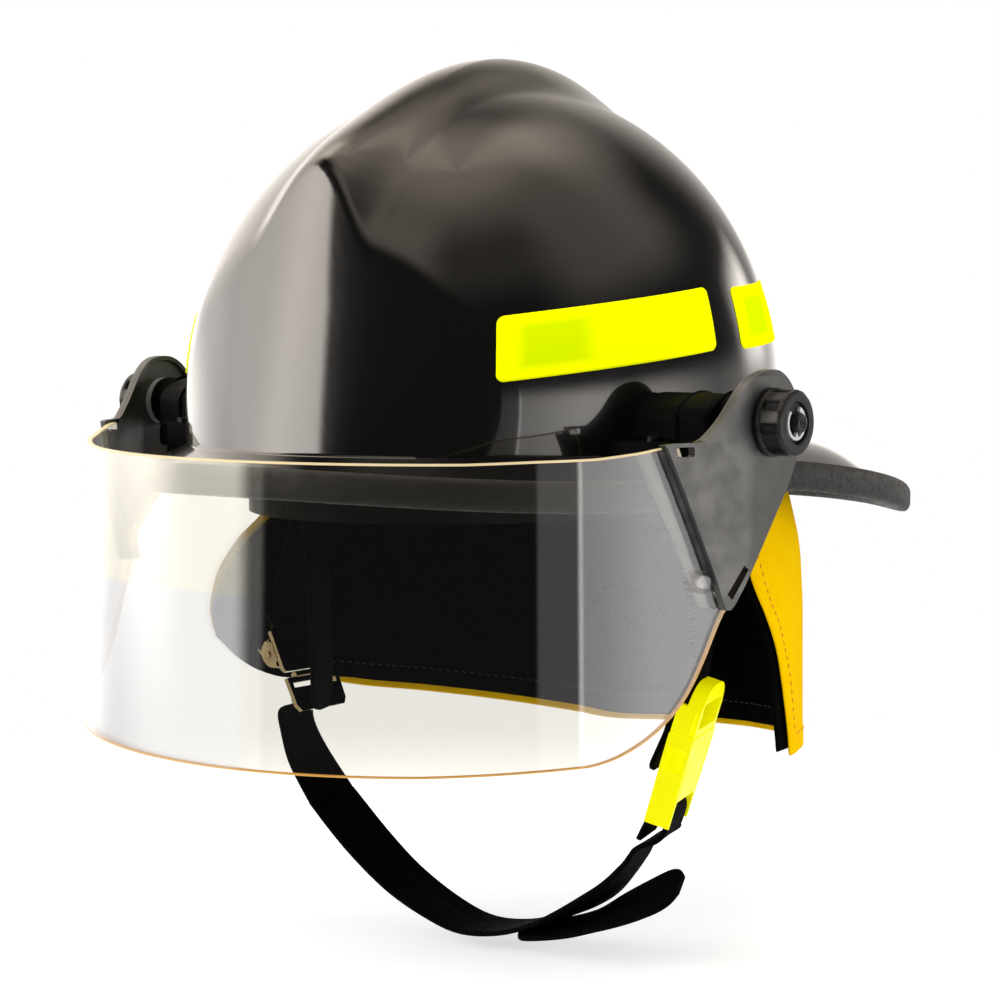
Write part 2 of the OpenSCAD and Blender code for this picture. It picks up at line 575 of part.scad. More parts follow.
module stud_ring_left() {
    color([0.9, 0.9, 0.88])
    along_x(knob_out - recess_d + 0.15) difference() {
        cylinder(h = 1.2, r = 5.9, $fn = 48);
        translate([0, 0, -1]) difference() {
            cylinder(h = 4, r = 4.2, $fn = 40);
            translate([0, -0.7, -1]) cube([6, 1.4, 6]);
        }
        translate([0, 0, -1]) cylinder(h = 4, r = stud_tip + 0.05, $fn = 40);
        translate([0, 0, -1]) linear_extrude(4) polygon([[0, 0], [-8.3, 3.5], [-6.5, -6.3]]);
    }
}
module stud_ring_right() mirror([1, 0, 0]) stud_ring_left();

// Strap anchors: angle plates that hang from the shell's inner wall.
anchor_x = dome_half_w - 14.3;
module strap_anchor_left() {
    color([0.3, 0.3, 0.32])
    intersection() {
        translate([0, -4, 0]) union() {
            translate([anchor_x, 0, 8]) cube([2.4, 18, 23.8]);
            translate([anchor_x, 0, 29.2]) cube([20, 18, 2.6]);
        }
        linear_extrude(60) polygon(ring_xy(dome_half_w - shell_wall - 0.9, dome_half_l - shell_wall - 0.9,
            0, 357, 119));
    }
}
module strap_anchor_right() mirror([1, 0, 0]) strap_anchor_left();

// Near strap and buckle. The buckle stands in its own frame: Z along it, Y across it, X through it.
buckle_lean = 16.6;
buckle_turn = 19;
buckle_at = [93.4, 3, -79.4];
function bk(x, z, s = 1) = let (q = x * cos(buckle_lean) + z * sin(buckle_lean))
    flat(buckle_at.x + q * cos(buckle_turn), buckle_at.y + q * sin(buckle_turn),
    buckle_at.z + z * cos(buckle_lean) - x * sin(buckle_lean), s, buckle_turn);
module at_buckle() translate(buckle_at) rotate([0, 0, buckle_turn]) rotate([0, buckle_lean, 0]) children();
module side_form(pts, x0, x1) translate([x0, 0, 0]) rotate([90, 0,
    90]) linear_extrude(x1 - x0) polygon(pts);
buckle_w = web_w + 9;
bw = buckle_w / 2;
slot_w = web_w + 1;
module near_strap() {
    color([0.1, 0.1, 0.1])
    webbing(curve([flat(anchor_x - 1.2, 5, 27), flat(anchor_x - 1.2, 5, 8), flat(92.4, 5.6, -14, 1, 4),
        flat(95.4, 6, -38, 1, 14),
        bk(-3.9, 24), bk(-3.5, 17), bk(-2.9, 13), bk(-1.8, 10.2), bk(-2.6, 8.2), bk(-5, 6.5), bk(-6.8,
            3.4), bk(-7, -2),
        bk(-8, -10), bk(-8.7, -15, 0.95), bk(-9, -18, 0.6)], 3));
}
module buckle_base() {
    color([0.9, 0.93, 0.05]) at_buckle() difference() {
        side_form([[-bw, 0.2], [bw, 0.2], [bw - 0.4, 8], [bw - 2.6, 14], [bw - 8, 18.6],
            [bw - 11, 19.6], [11 - bw, 19.6],
            [8 - bw, 18.6], [2.6 - bw, 14], [0.4 - bw, 8]], -4.5, 4.5);
        translate([-6, -slot_w / 2, 3]) cube([12, slot_w, 10]);
        translate([-9.2, -buckle_w, 11]) cube([8, 2 * buckle_w, 12]);
    }
}
prong_out = bw - 2.1;
module prong(s) {
    a = prong_out;
    color([0.86, 0.9, 0.05]) at_buckle() mirror([0, s < 0 ? 1 : 0, 0])
    side_form([[a - 4.6, -0.1], [a - 0.8, -0.1], [a - 0.8, -4], [a, -6.6], [a - 0.5, -7.4], [a, -8.2],
        [a - 0.5, -9], [a, -9.8],
        [a - 0.5, -10.6], [a, -11.4], [a - 0.5, -12.2], [a, -13], [a - 1.6, -15], [a - 4.2, -15.4],
            [a - 4.8, -12]], -3, 3);
}
module buckle_prong_front() prong(-1);
module buckle_prong_rear() prong(1);
module buckle_socket() {
    color([0.9, 0.93, 0.05]) at_buckle() difference() {
        side_form([[bw, -0.2], [-bw, -0.2], [0.3 - bw, -12], [1.4 - bw, -22], [2 - bw, -30],
            [2.3 - bw, -34.6], [3.8 - bw, -35.8],
            [bw - 3.8, -35.8], [bw - 2.3, -34.6], [bw - 2, -30], [bw - 1.4, -22],
                [bw - 0.3, -12]], -4.8, 4.8);
        translate([-3.2, -prong_out - 0.2, -17.6]) cube([6.4, 2 * prong_out + 0.4, 20]);
        for (s = [-1, 1]) translate([0, s * bw, -9.6]) cube([6.4, 6, 8.8], center = true);
        translate([-8, -slot_w / 2, -32.2]) cube([16, slot_w, 7]);
        for (s = [-1, 1]) translate([s * 5.6, 0, -31.4]) cube([8, slot_w, 12.4], center = true);
        for (s = [-1, 1]) translate([3.6, s * (bw - 4.4) - 0.6, -22]) cube([4, 1.2, 16]);
    }
}

// Chin strap: one web from the far fastener under the chin to the socket, and its loose tail.
module chin_strap() {
    color([0.1, 0.1, 0.1])
    webbing(curve([bk(-5.4, -43.6, 0.98), bk(-4.2, -36.6), bk(-2.9, -30.8), bk(-0.3, -27.6), bk(2.7, -30),
        bk(3.2, -34.6),
        bk(2.2, -40.4), flat(75.2, 0, -123.8, 1, 16), flat(69.6, 0, -130.8, 1, 12), flat(62.5, 0, -138.6,
            1, 6),
        flat(53.5, 0, -146.4, 1, 0, -2), flat(42, 0, -153.6, 1, 0, 0), flat(29, 0, 8.4 - chin_drop, 1, 0,
            4),
        flat(13, 0, 3.4 - chin_drop, 1, 0, 5), flat(-5, 0, 2 - chin_drop, 1, 0, 6), flat(-22, 0, -161.6, 1,
            0, 8),
        flat(-41.5, 0, -152.6, 1, 0, 12), flat(-60.5, 0, -139.4, 1, 0, 14), flat(-79.5, 0, -123, 1, 0, 12),
        flat(-91.6, 0, -108, 1, 4, 8), flat(-96.6, -1, -96, 1, 10, 4), flat(-97, -1, -88.6, 1, 6), fr(-4.4,
            -22.4), fr(-2.6, -19.2),
        fr(-0.2, -17.4), fr(2.4, -19.6), fr(2.9, -25), fr(2.4, -31)], 3));
}
module chin_strap_tail() {
    color([0.1, 0.1, 0.1])
    webbing(curve([flat(15, 0, 0.9 - chin_drop, 1, 0, 4), flat(30, 0, 4 - chin_drop, 1, 0, 2), flat(46, 0,
        -158.6),
        flat(60, 0, -152.8), flat(72, 0, -147), flat(82, 0, -141.6, 1, 6), flat(88, 0, -138.6, 0.86, 10),
        flat(90.4, 0, -137.4, 0.45, 12)], 3));
}

// Far strap and slide fastener, in a frame of its own like the buckle's.
slide_lean = -25.2;
slide_at = [-95.4, 0, -63.4];
function fr(x, z, s = 1) = flat(slide_at.x + x * cos(slide_lean) + z * sin(slide_lean), slide_at.y,
    slide_at.z + z * cos(slide_lean) - x * sin(slide_lean), s);
module at_slide() translate(slide_at) rotate([0, slide_lean, 0]) children();
slide_w = web_w + 6;
sw = slide_w / 2;
module end_form(pts, y0, y1) translate([0, y1, 0]) rotate([90, 0, 0]) linear_extrude(y1 - y0) polygon(pts);
module far_strap() {
    color([0.1, 0.1, 0.1])
    webbing(curve([flat(1.2 - anchor_x, 5, 27), flat(1.1 - anchor_x, 4.6, 8), flat(-93, 3, -14),
        flat(-98, 1, -34), fr(2.6, 14), fr(2.2, 9),
        fr(1.3, 5.6), fr(-1.2, 2.7), fr(-2.3, 0), fr(-1.2, -2.7), fr(1.3, -5.6), fr(2.2, -8), fr(2.5,
            -9.6)], 3));
}
module far_strap_tail() {
    color([0.1, 0.1, 0.1])
    webbing(curve([flat(3.6 - anchor_x, 3, 20), flat(4.8 - anchor_x, 1, 6, 1, 4), flat(-81, -7, -13, 1, 14),
        flat(-78, -9, -40, 1, 20),
        flat(-77, -9, -66, 1, 20), flat(-76.6, -9, -79, 0.97, 20), flat(-76.6, -9, -84, 0.75, 20),
        flat(-76.6, -9, -86, 0.4, 20)], 3), w = web_w - 3);
}
slide_z = 9.5;
pin_x = -5;
module slide_frame() {
    color([0.7, 0.66, 0.6]) at_slide() difference() {
        union() {
            side_form([[-sw, -slide_z], [sw, -slide_z], [sw, slide_z], [-sw, slide_z]], -0.9, 0.9);
            for (s = [-1, 1]) end_form([[-0.5, -4], [-0.5, 4], [-7.2, 2],
                [-7.2, -2]], s * (sw - 0.7) - 0.7, s * (sw - 0.7) + 0.7);
            end_form([[-0.9, -9.5], [-0.9, -8], [-4.6, -6.6], [-8.8, -3], [-12.4, 1.6], [-15.4, 6.4],
                [-16.4, 5.8],
                [-13.6, 0.8], [-9.8, -4.2], [-5.4, -8]], -8, 8);
        }
        translate([-3, -slot_w / 2, 1]) cube([6, slot_w, 6.6]);
        translate([-3, -slot_w / 2, -7.6]) cube([6, slot_w, 6.6]);
        translate([pin_x, -40, 0]) rotate([-90, 0, 0]) cylinder(h = 80, r = 1.01, $fn = 24);
    }
}
module slide_pin() {
    color([0.6, 0.57, 0.52]) at_slide() translate([pin_x, -sw - 0.5, 0]) rotate([-90, 0, 0])
    cylinder(h = slide_w + 1, r = 1, $fn = 24);
}
module slide_lever() {
    color([0.72, 0.68, 0.62]) at_slide() difference() {
        union() {
            translate([pin_x, -sw + 1.6, 0]) rotate([-90, 0, 0]) cylinder(h = slide_w - 3.2, r = 1.5,
                $fn = 32);
            for (s = [-1, 1]) intersection() {
                translate([-3.4, s * (sw - 2.15), 0]) rotate([90, 0, 0]) cylinder(h = 1.4, r = 6, $fn = 60,
                    center = true);
                translate([-13, -20, -8]) cube([9.7, 40, 16]);
            }
            end_form([[-6.4, 1], [-4.4, 1.6], [-3.4, 6], [-2.6, 10.5], [-3, 14.5], [-5, 18.6],
                [-8.6, 22.8], [-9.6, 22],
                [-6.2, 18], [-4.3, 14.2], [-3.9, 10.6], [-4.7, 6]], -9, 9);
            for (k = [-2 : 2]) end_form([[-5, 4.6], [-4, 4.6], [-6.4, 8.8]], k * 3.8 - 0.5, k * 3.8 + 0.5);
        }
        translate([pin_x, -40, 0]) rotate([-90, 0, 0]) cylinder(h = 80, r = 1.05, $fn = 24);
    }
}
module slide_loop() {
    color([0.72, 0.68, 0.62]) at_slide() {
        translate([0, -10, -11.4]) rotate([-90, 0, 0]) cylinder(h = 20, r = 1.5, $fn = 32);
        difference() {
            side_form([[-sw, -12.2], [sw, -12.2], [sw - 0.4, -24], [sw - 2.4, -26.6], [2.4 - sw, -26.6],
                [0.4 - sw, -24]], -0.9, 0.9);
            translate([-3, -slot_w / 2, -23.6]) cube([6, slot_w, 9]);
        }
    }
}

outer_shell();
edge_trim();
impact_liner();
decal_left_front();
decal_left_rear();
decal_right_front();
decal_right_rear();
headband();
brow_pad();
crown_strap_long();
crown_strap_cross();
crown_pad();
strap_hangers();
nape_yoke();
nape_pad();
ratchet_housing();
rack_left();
rack_right();
ratchet_dial();
cover_outer();
cover_liner();
cover_tape();
pivot_bracket_left();
pivot_bracket_right();
bracket_screws();
pivot_stud_left();
pivot_stud_right();
friction_washer_left();
friction_washer_right();
visor_lens();
visor_arm_left();
visor_arm_right();
visor_clamp_left();
visor_clamp_right();
lens_buttons();
visor_knob_left();
visor_knob_right();
stud_ring_left();
stud_ring_right();
strap_anchor_left();
strap_anchor_right();
near_strap();
far_strap();
far_strap_tail();
buckle_base();
buckle_prong_front();
buckle_prong_rear();
buckle_socket();
chin_strap();
chin_strap_tail();
slide_frame();
slide_pin();
slide_lever();
slide_loop();
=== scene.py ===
# %% [markdown]
# # A fire helmet, dressed piece by piece
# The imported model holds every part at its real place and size. This script loads it as a fixed frame,
# keeps the rigid parts that already look right, and puts finer surfaces where the plain solids are:
# shell, trim, shield, straps, buckle and cloth.

# %% Load the frame
import bmesh
import bpy
import math
import numpy as np
from mathutils import Matrix, Vector
from mathutils.geometry import tessellate_polygon


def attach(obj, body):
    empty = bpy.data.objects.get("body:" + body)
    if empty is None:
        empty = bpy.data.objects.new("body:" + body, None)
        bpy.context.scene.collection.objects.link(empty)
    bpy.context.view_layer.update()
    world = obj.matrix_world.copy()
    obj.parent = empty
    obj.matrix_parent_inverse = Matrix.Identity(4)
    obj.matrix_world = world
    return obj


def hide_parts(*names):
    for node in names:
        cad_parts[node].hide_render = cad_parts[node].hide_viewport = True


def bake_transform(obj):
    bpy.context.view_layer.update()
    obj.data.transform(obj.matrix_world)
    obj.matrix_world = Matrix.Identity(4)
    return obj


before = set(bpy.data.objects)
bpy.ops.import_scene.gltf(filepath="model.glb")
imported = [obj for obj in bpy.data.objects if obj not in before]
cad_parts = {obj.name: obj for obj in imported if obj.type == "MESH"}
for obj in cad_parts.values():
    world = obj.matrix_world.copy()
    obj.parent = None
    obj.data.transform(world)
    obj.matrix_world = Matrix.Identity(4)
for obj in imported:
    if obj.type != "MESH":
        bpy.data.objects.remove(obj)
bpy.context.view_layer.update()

MM = 0.001
SIDES = (1, "left"), (-1, "right")


def new_object(name, data):
    """An object in the scene that carries this data."""
    obj = bpy.data.objects.new(name, data)
    bpy.context.scene.collection.objects.link(obj)
    return obj

# %% [markdown]
# The camera comes first. The viewing angle, the distance and the focal length were worked out from the
# perspective of the brim and of the strip on the side: the camera stands 37 degrees round to the wearer's
# left, 4.5 degrees above level, 1.08 m away, with a long lens that draws the helmet almost without
# convergence.

# %% Camera
AZIMUTH, ELEVATION = math.radians(37), math.radians(4.5)
FOCAL_PX, PICTURE_PX, SENSOR_MM = 2800, 1000, 36
camera_place = Vector((0.653456, -0.858661, 0.086151))
right = Vector((math.cos(AZIMUTH), math.sin(AZIMUTH), 0))
back = Vector((math.sin(AZIMUTH) * math.cos(ELEVATION), -math.cos(AZIMUTH) * math.cos(ELEVATION),
               math.sin(ELEVATION)))
above = back.cross(right)
camera_data = bpy.data.cameras.new("camera")
camera_data.sensor_width = SENSOR_MM
camera_data.lens = FOCAL_PX / PICTURE_PX * SENSOR_MM
camera_data.clip_start, camera_data.clip_end = 0.05, 60
camera = new_object("camera", camera_data)
camera.matrix_world = Matrix.Translation(camera_place) @ Matrix((right, above, back)).transposed().to_4x4()
bpy.context.scene.camera = camera
print("camera", [round(v, 3) for v in camera_place], "lens", round(camera_data.lens, 1))

# %% [markdown]
# Every finish below is written as sums on wires. A wire is the output of a shader node, and each operator
# on it adds one Math node, so that the code reads like the formula of the pattern.

# %% Wires and finishes
def plug(tree, socket, value):
    """Join a wire to a socket, or set the socket's own value."""
    if isinstance(value, Wire):
        tree.links.new(value.socket, socket)
    elif value is not None:
        socket.default_value = value


class Wire:
    """A node's output that takes part in Python sums."""

    def __init__(self, tree, socket):
        self.tree, self.socket = tree, socket

    def math(self, kind, *values):
        node = self.tree.nodes.new("ShaderNodeMath")
        node.operation = kind
        for socket, value in zip(node.inputs, values):
            plug(self.tree, socket, value)
        return Wire(self.tree, node.outputs[0])

    def __add__(self, other): return self.math("ADD", self, other)
    def __sub__(self, other): return self.math("SUBTRACT", self, other)
    def __rsub__(self, other): return self.math("SUBTRACT", other, self)
    def __mul__(self, other): return self.math("MULTIPLY", self, other)
    def __pow__(self, other): return self.math("POWER", self, other)
    def __mod__(self, other): return self.math("FLOORED_MODULO", self, other)
    def __abs__(self): return self.math("ABSOLUTE", self)
    __radd__, __rmul__ = __add__, __mul__

    def sin(self): return self.math("SINE", self)
    def least(self, other): return self.math("MINIMUM", self, other)
    def most(self, other): return self.math("MAXIMUM", self, other)

    def step(self, low, high, start=0.0, end=1.0):
        """Changes smoothly from start to end as this value goes from low to high."""
        node = self.tree.nodes.new("ShaderNodeMapRange")
        node.interpolation_type = "SMOOTHSTEP"
        for socket, value in zip(node.inputs, (self, low, high, start, end)):
            plug(self.tree, socket, value)
        return Wire(self.tree, node.outputs[0])

    def fall(self, low, high): return self.step(low, high, 1.0, 0.0)


def rgba(colour):
    return (*colour, 1) if isinstance(colour, tuple) else colour


class Nodes:
    """A node tree and short ways to add to it."""

    def __init__(self, tree):
        self.tree = tree

    def add(self, kind, sockets=(), out=0, **settings):
        """Any node: its settings first, then its sockets by name or number."""
        node = self.tree.nodes.new("ShaderNode" + kind)
        for name, value in settings.items():
            setattr(node, name, value)
        for name, value in dict(sockets).items():
            plug(self.tree, node.inputs[name], value)
        return Wire(self.tree, node.outputs[out])

    def tint(self, share, first, second):
        """A colour from first to second by share."""
        return self.add("Mix", {0: share, 6: rgba(first), 7: rgba(second)}, out=2, data_type="RGBA")

    def rays(self):
        """1 for rays from the camera, for mirror rays and for rays that pass through."""
        node = self.tree.nodes.new("ShaderNodeLightPath")
        return [Wire(self.tree, node.outputs[f"Is {kind} Ray"]) for kind in ("Camera", "Glossy", "Transmission")]


class Finish(Nodes):
    """A material made of one Principled shader and the wires that feed it."""

    def __init__(self, name, **constants):
        self.material = bpy.data.materials.new(name)
        self.material.use_nodes = True
        super().__init__(self.material.node_tree)
        self.shader = self.tree.nodes["Principled BSDF"]
        self.set(**constants)

    def set(self, **values):
        """Set or feed sockets by name, with _ for a space, such as base_color."""
        for name, value in values.items():
            words = name.replace("_", " ").title().replace("Ior", "IOR")
            plug(self.tree, self.shader.inputs[words], rgba(value))

    def place(self): return self.add("TexCoord", out=3)

    def axes(self, vector):
        node = self.tree.nodes.new("ShaderNodeSeparateXYZ")
        plug(self.tree, node.inputs[0], vector)
        return [Wire(self.tree, out) for out in node.outputs]

    def weave_axes(self): return self.axes(self.add("UVMap", uv_map="weave"))

    def noise(self, scale, detail=2.0):
        return self.add("TexNoise", {"Vector": self.place(), "Scale": scale, "Detail": detail, "Roughness": 0.5})

    def cells(self, scale, vector=None):
        """Distance to the edge of the nearest cell."""
        return self.add("TexVoronoi", {"Vector": vector or self.place(), "Scale": scale}, feature="DISTANCE_TO_EDGE")

    def relief(self, height, depth):
        """Feed a bump whose full height is depth metres."""
        self.set(normal=self.add("Bump", {"Height": height, "Distance": depth, "Strength": 1.0}))


# %% [markdown]
# The shell is moulded and clear coated. Its coat has the faint waviness that painters call orange peel: a
# soft ripple a few millimetres long and only microns deep, which is what bends the edges of reflections.

# %% Shell, trim and strip finishes
def shell_finish():
    f = Finish("shell_black", base_color=(0.003, 0.0029, 0.0026), roughness=0.16, specular_ior_level=0.15,
               coat_weight=0.8, coat_roughness=0.05)
    peel = f.noise(330, 1.5) + 0.35 * f.noise(900, 1.0)
    f.relief(peel, 0.000038)
    haze = f.noise(9, 3.0)
    f.set(roughness=haze.step(0.3, 0.75, 0.15, 0.22))
    return f.material


def rubber_finish():
    f = Finish("trim_rubber", roughness=0.62, specular_ior_level=0.3)
    grain = f.noise(2600, 2.0) + 0.6 * f.noise(900, 2.0)
    f.relief(grain, 0.00016)
    f.set(base_color=f.tint(f.noise(60, 3.0), (0.009, 0.009, 0.009), (0.017, 0.016, 0.015)),
          roughness=f.noise(400).step(0.3, 0.8, 0.52, 0.72))
    return f.material


def strip_finish():
    # Painted glow: the strip emits its own colour at strength 0.2, as if lit, though it is no lamp.
    f = Finish("reflective_lime", roughness=0.3, specular_ior_level=0.0, emission_strength=0.2)
    across, along, _ = f.weave_axes()
    prisms = f.cells(0.9, f.add("UVMap", uv_map="weave"))
    border = abs(across).step(0.0094, 0.0101)
    ends = along.fall(0.0, 0.0014)
    patch = along.step(0.006, 0.012) * along.fall(0.030, 0.040) * abs(across).fall(0.006, 0.009)
    body = f.tint(0.6 * patch, (0.84, 0.89, 0.0), (0.46, 0.68, 0.0))
    rim = border.most(ends)
    colour = f.tint(rim, body, (0.90, 0.95, 0.0))
    f.set(base_color=colour, emission_color=colour)
    f.relief(prisms.step(0.0, 0.3) * 0.3 + 0.7 * rim, 0.00012)
    return f.material


# %% [markdown]
# The shield is polycarbonate: clear, with a faint warm yellow. A thin sheet shows its colour twice, once
# for each face, and its cut edge looks golden because there the light runs along the sheet; here that edge
# is gold with a painted glow, paler at the top as a painted highlight. The faces mix a clear shader with a
# mirror one by the angle of view; the shield's far half has the haze of a hard coat, which mirrors more at a slant.

# %% Shield finishes
def clear_finish(name, through, roughness=0.03, least=0.045, haze=0.0):
    """through is the share of each colour that one face lets pass; least is what it mirrors seen square on."""
    f = Finish(name, metallic=1.0, roughness=roughness)
    x, _, z = f.axes(f.place())
    warm_part = z.step(-0.0225, -0.0195) * x.fall(0.0, 0.05)
    f.set(base_color=f.tint(warm_part, (0.88, 0.91, 0.98), (0.97, 0.97, 0.91)))
    facing = f.add("LayerWeight", {"Blend": 0.5}, out=1)
    straight, slanting = (f.add("BsdfTransparent", {0: (*(np.array(through) * share), 1)}) for share in (1.0, 0.82))
    clear = f.add("MixShader", {0: facing.step(0.38, 0.7), 1: straight, 2: slanting})
    share = (facing ** 5) * (0.9 - haze) + least + haze * facing.step(0.07, 0.11) * x.fall(0.009, 0.017)
    both = f.add("MixShader", {0: share, 1: clear})
    f.tree.links.new(f.shader.outputs[0], both.socket.node.inputs[2])
    f.tree.links.new(both.socket, f.tree.nodes["Material Output"].inputs[0])
    f.material.use_transparent_shadow = True
    return f.material


# %% Moulded plastics and metals
def moulded_finish(name, dark, light, rough=(0.42, 0.58), grain=1800, depth=0.00005, **more):
    """Textured moulding: a fine spark grain, a slow change of tone and worn, smoother patches."""
    f = Finish(name, **more)
    f.relief(f.noise(grain, 2.0), depth)
    f.set(base_color=f.tint(f.noise(45, 3.0), dark, light), roughness=f.noise(120, 2.0).step(0.3, 0.7, *rough))
    return f.material


def metal_finish(name, colour, deep, rough=(0.16, 0.3), grain=900):
    f = Finish(name, metallic=1.0)
    f.relief(f.noise(grain, 3.0), 0.00003)
    f.set(base_color=f.tint(f.noise(160, 3.0), deep, colour), roughness=f.noise(300, 2.0).step(0.3, 0.7, *rough))
    return f.material


# %% [markdown]
# Cloth needs its own axes, because the threads follow the piece. Each cloth piece stores them, in metres,
# in a UV map called weave. Webbing is woven in a herringbone whose wales run along the strap; the cover is
# a twill with fine diagonal ribs; the liner is a brushed knit.

# %% Cloth finishes
def waves(value):
    """0 to 1 and back once for each whole step of the value."""
    return (value * math.tau).sin() * 0.5 + 0.5


def webbing_finish(name, dark, light, width):
    f = Finish(name, specular_ior_level=0.03)
    across, along, _ = f.weave_axes()
    wale = abs((across * 330) % 1 - 0.5) * 2
    ribs, cord = waves(along * 900 + wale * 1.2), waves(along * 620)
    edge = abs(across).step(width * 0.43, width * 0.47)
    height = (ribs * 0.7 + wale * 0.5) * (1 - edge) + cord * edge + f.noise(2400, 3.0) * 0.5
    f.relief(height, 0.00028)
    # Colour follows the relief height: partly random fibre tone, partly painted shade that darkens the weave's hollows
    # and lightens its ridges.
    f.set(base_color=f.tint((height * 0.45).least(1.0), dark, light), roughness=f.noise(500).step(0.2, 0.8, 0.72, 0.95))
    return f.material


def twill_finish(name, dark, light):
    f = Finish(name, specular_ior_level=0.01)
    across, along, _ = f.weave_axes()
    ribs = 1150
    diagonal = waves(across * ribs + along * ribs * 0.8)
    f.relief(diagonal * 0.6 + f.noise(1800, 2.0) * 0.5, 0.00018)
    # Tone is a random change plus painted shade: the diagonal term darkens the furrows between the ribs that the relief
    # raises.
    tone = (f.noise(140, 4.0) * 0.7 + diagonal * 0.25 + f.noise(18, 2.0) * 0.35 - 0.15).most(0.0).least(1.0)
    f.set(base_color=f.tint(tone, dark, light), roughness=0.86)
    return f.material


def knit_finish(name, dark, light):
    f = Finish(name, specular_ior_level=0.015)
    across, along, _ = f.weave_axes()
    wales = ((across * 760) * math.tau).sin() * ((along * 620 + across * 380) * math.tau).sin()
    pile = f.noise(1500, 4.0)
    f.relief(wales * 0.25 + pile, 0.00005)
    f.set(base_color=f.tint(f.noise(220, 4.0), dark, light), roughness=f.noise(90).step(0.3, 0.7, 0.85, 1.0))
    return f.material


def foam_finish():
    f = Finish("impact_foam", roughness=0.7)
    beads = f.cells(330)
    f.relief(beads.step(0.0, 0.25), 0.0003)
    # Painted shade: the bead edges, where the relief is low, are darker than the bead middles.
    f.set(base_color=f.tint(beads.step(0.0, 0.15), (0.012, 0.012, 0.013), (0.03, 0.03, 0.032)))
    return f.material


def edge_finish():
    """The sheet's cut edge: gold with a painted glow, and a painted highlight that makes it pale gold at the top,
    deeper at the foot.
    """
    # Painted glow: the edge emits its own colour at strength 0.2; below, a painted highlight makes it paler towards the
    # top.
    f = Finish("shield_edge", roughness=0.3, specular_ior_level=0.25, emission_strength=0.2)
    top = f.axes(f.place())[2].step(-0.05, 0.01)
    low_gold = f.tint(f.noise(60), (0.50, 0.25, 0.05), (0.62, 0.36, 0.10))
    colour = f.tint(top, low_gold, f.tint(f.noise(45), (0.62, 0.47, 0.24), (0.80, 0.66, 0.42)))
    f.relief(f.noise(900), 0.00002)
    f.set(base_color=colour, emission_color=colour)
    return f.material


def grey(value): return value, value, value


finishes = {
    "shell": shell_finish(),
    "trim": rubber_finish(),
    "reflective": strip_finish(),
    "lens": clear_finish("clear_shield", (0.935, 0.925, 0.885), haze=0.3),
    "lens_edge": edge_finish(),
    "foam": foam_finish(),
    "band": moulded_finish("band_nylon", grey(0.002), grey(0.005), specular_ior_level=0.08),
    "bracket": moulded_finish("bracket_nylon", grey(0.0015), grey(0.004), (0.42, 0.55), specular_ior_level=0.02),
    "arm": moulded_finish("arm_nylon", (0.007, 0.0066, 0.006), (0.012, 0.0115, 0.0105), (0.38, 0.5), 2300, 0.00007,
                          specular_ior_level=0.95),
    "clamp": moulded_finish("clamp_strip", (0.05, 0.05, 0.052), (0.09, 0.09, 0.092), (0.4, 0.55)),
    "white": moulded_finish("white_acetal", (0.55, 0.55, 0.54), (0.66, 0.66, 0.64), (0.4, 0.5), 1500, 0.00002,
                            specular_ior_level=0.15),
    "washer": moulded_finish("grey_acetal", grey(0.2), grey(0.26)),
    # Painted glow: the buckle emits yellow at strength 0.2 though it is no lamp.
    "buckle": moulded_finish("buckle_acetal", (0.93, 0.90, 0.0), (0.98, 0.95, 0.002), (0.3, 0.42), 1600, 0.00002,
                             specular_ior_level=0.07, emission_strength=0.2, emission_color=(1.0, 0.94, 0.0)),
    "button": clear_finish("clear_button", (0.92, 0.91, 0.88), 0.06, 0.05),
    "gasket": moulded_finish("gasket_rubber", grey(0.004), grey(0.009), (0.5, 0.7)),
    "knob": moulded_finish("knob_nylon", grey(0.004), (0.009, 0.009, 0.008), (0.34, 0.48), 1500, 0.00009,
                           specular_ior_level=0.3),
    "thread": moulded_finish("cover_thread", (0.55, 0.2, 0.0), (0.75, 0.32, 0.0), (0.6, 0.8)),
    "black_thread": moulded_finish("black_thread", grey(0.006), grey(0.02), (0.6, 0.8)),
    "nickel": metal_finish("champagne_nickel", (0.38, 0.31, 0.18), (0.19, 0.14, 0.08), (0.12, 0.24)),
    "dark_steel": metal_finish("blackened_steel", grey(0.03), grey(0.02), (0.35, 0.5)),
    "steel": metal_finish("plated_steel", (0.62, 0.62, 0.63), grey(0.5), (0.25, 0.4)),
    "webbing": webbing_finish("strap_webbing", grey(0.0005), (0.0038, 0.0037, 0.0036), 0.025),
    "crown_webbing": webbing_finish("crown_webbing", grey(0.0015), grey(0.007), 0.020),
    "cover_cloth": twill_finish("cover_twill", (0.93, 0.50, 0.0), (1.0, 0.65, 0.0)),
    "liner_cloth": knit_finish("liner_knit", (0.0006, 0.0006, 0.0005), (0.0018, 0.0017, 0.0016)),
    "pad": knit_finish("pad_cloth", grey(0.0008), grey(0.0022)),
}
print(len(finishes), "finishes")

# %% [markdown]
# A surface is a grid of points worked out in one go. These helpers turn grids into closed solids: a wall
# between two grids, or a profile carried along a path. All lengths are in millimetres until the mesh is made.

# %% Mesh helpers
def sheet_quads(rows, cols, start=0, wrap=False, flip=False):
    """Quads of a grid of points stored row by row."""
    r, c = np.meshgrid(np.arange(rows - 1), np.arange(cols if wrap else cols - 1), indexing="ij")
    a, b = r * cols + c, r * cols + (c + 1) % cols
    quads = np.stack([a, b, b + cols, a + cols], -1).reshape(-1, 4) + start
    return quads[:, ::-1] if flip else quads


def strip_quads(first, second, wrap=False):
    """Quads between two equal lists of point numbers."""
    first, second = np.asarray(first), np.asarray(second)
    k = np.arange(len(first) if wrap else len(first) - 1)
    n = (k + 1) % len(first)
    return np.stack([first[k], first[n], second[n], second[k]], -1)


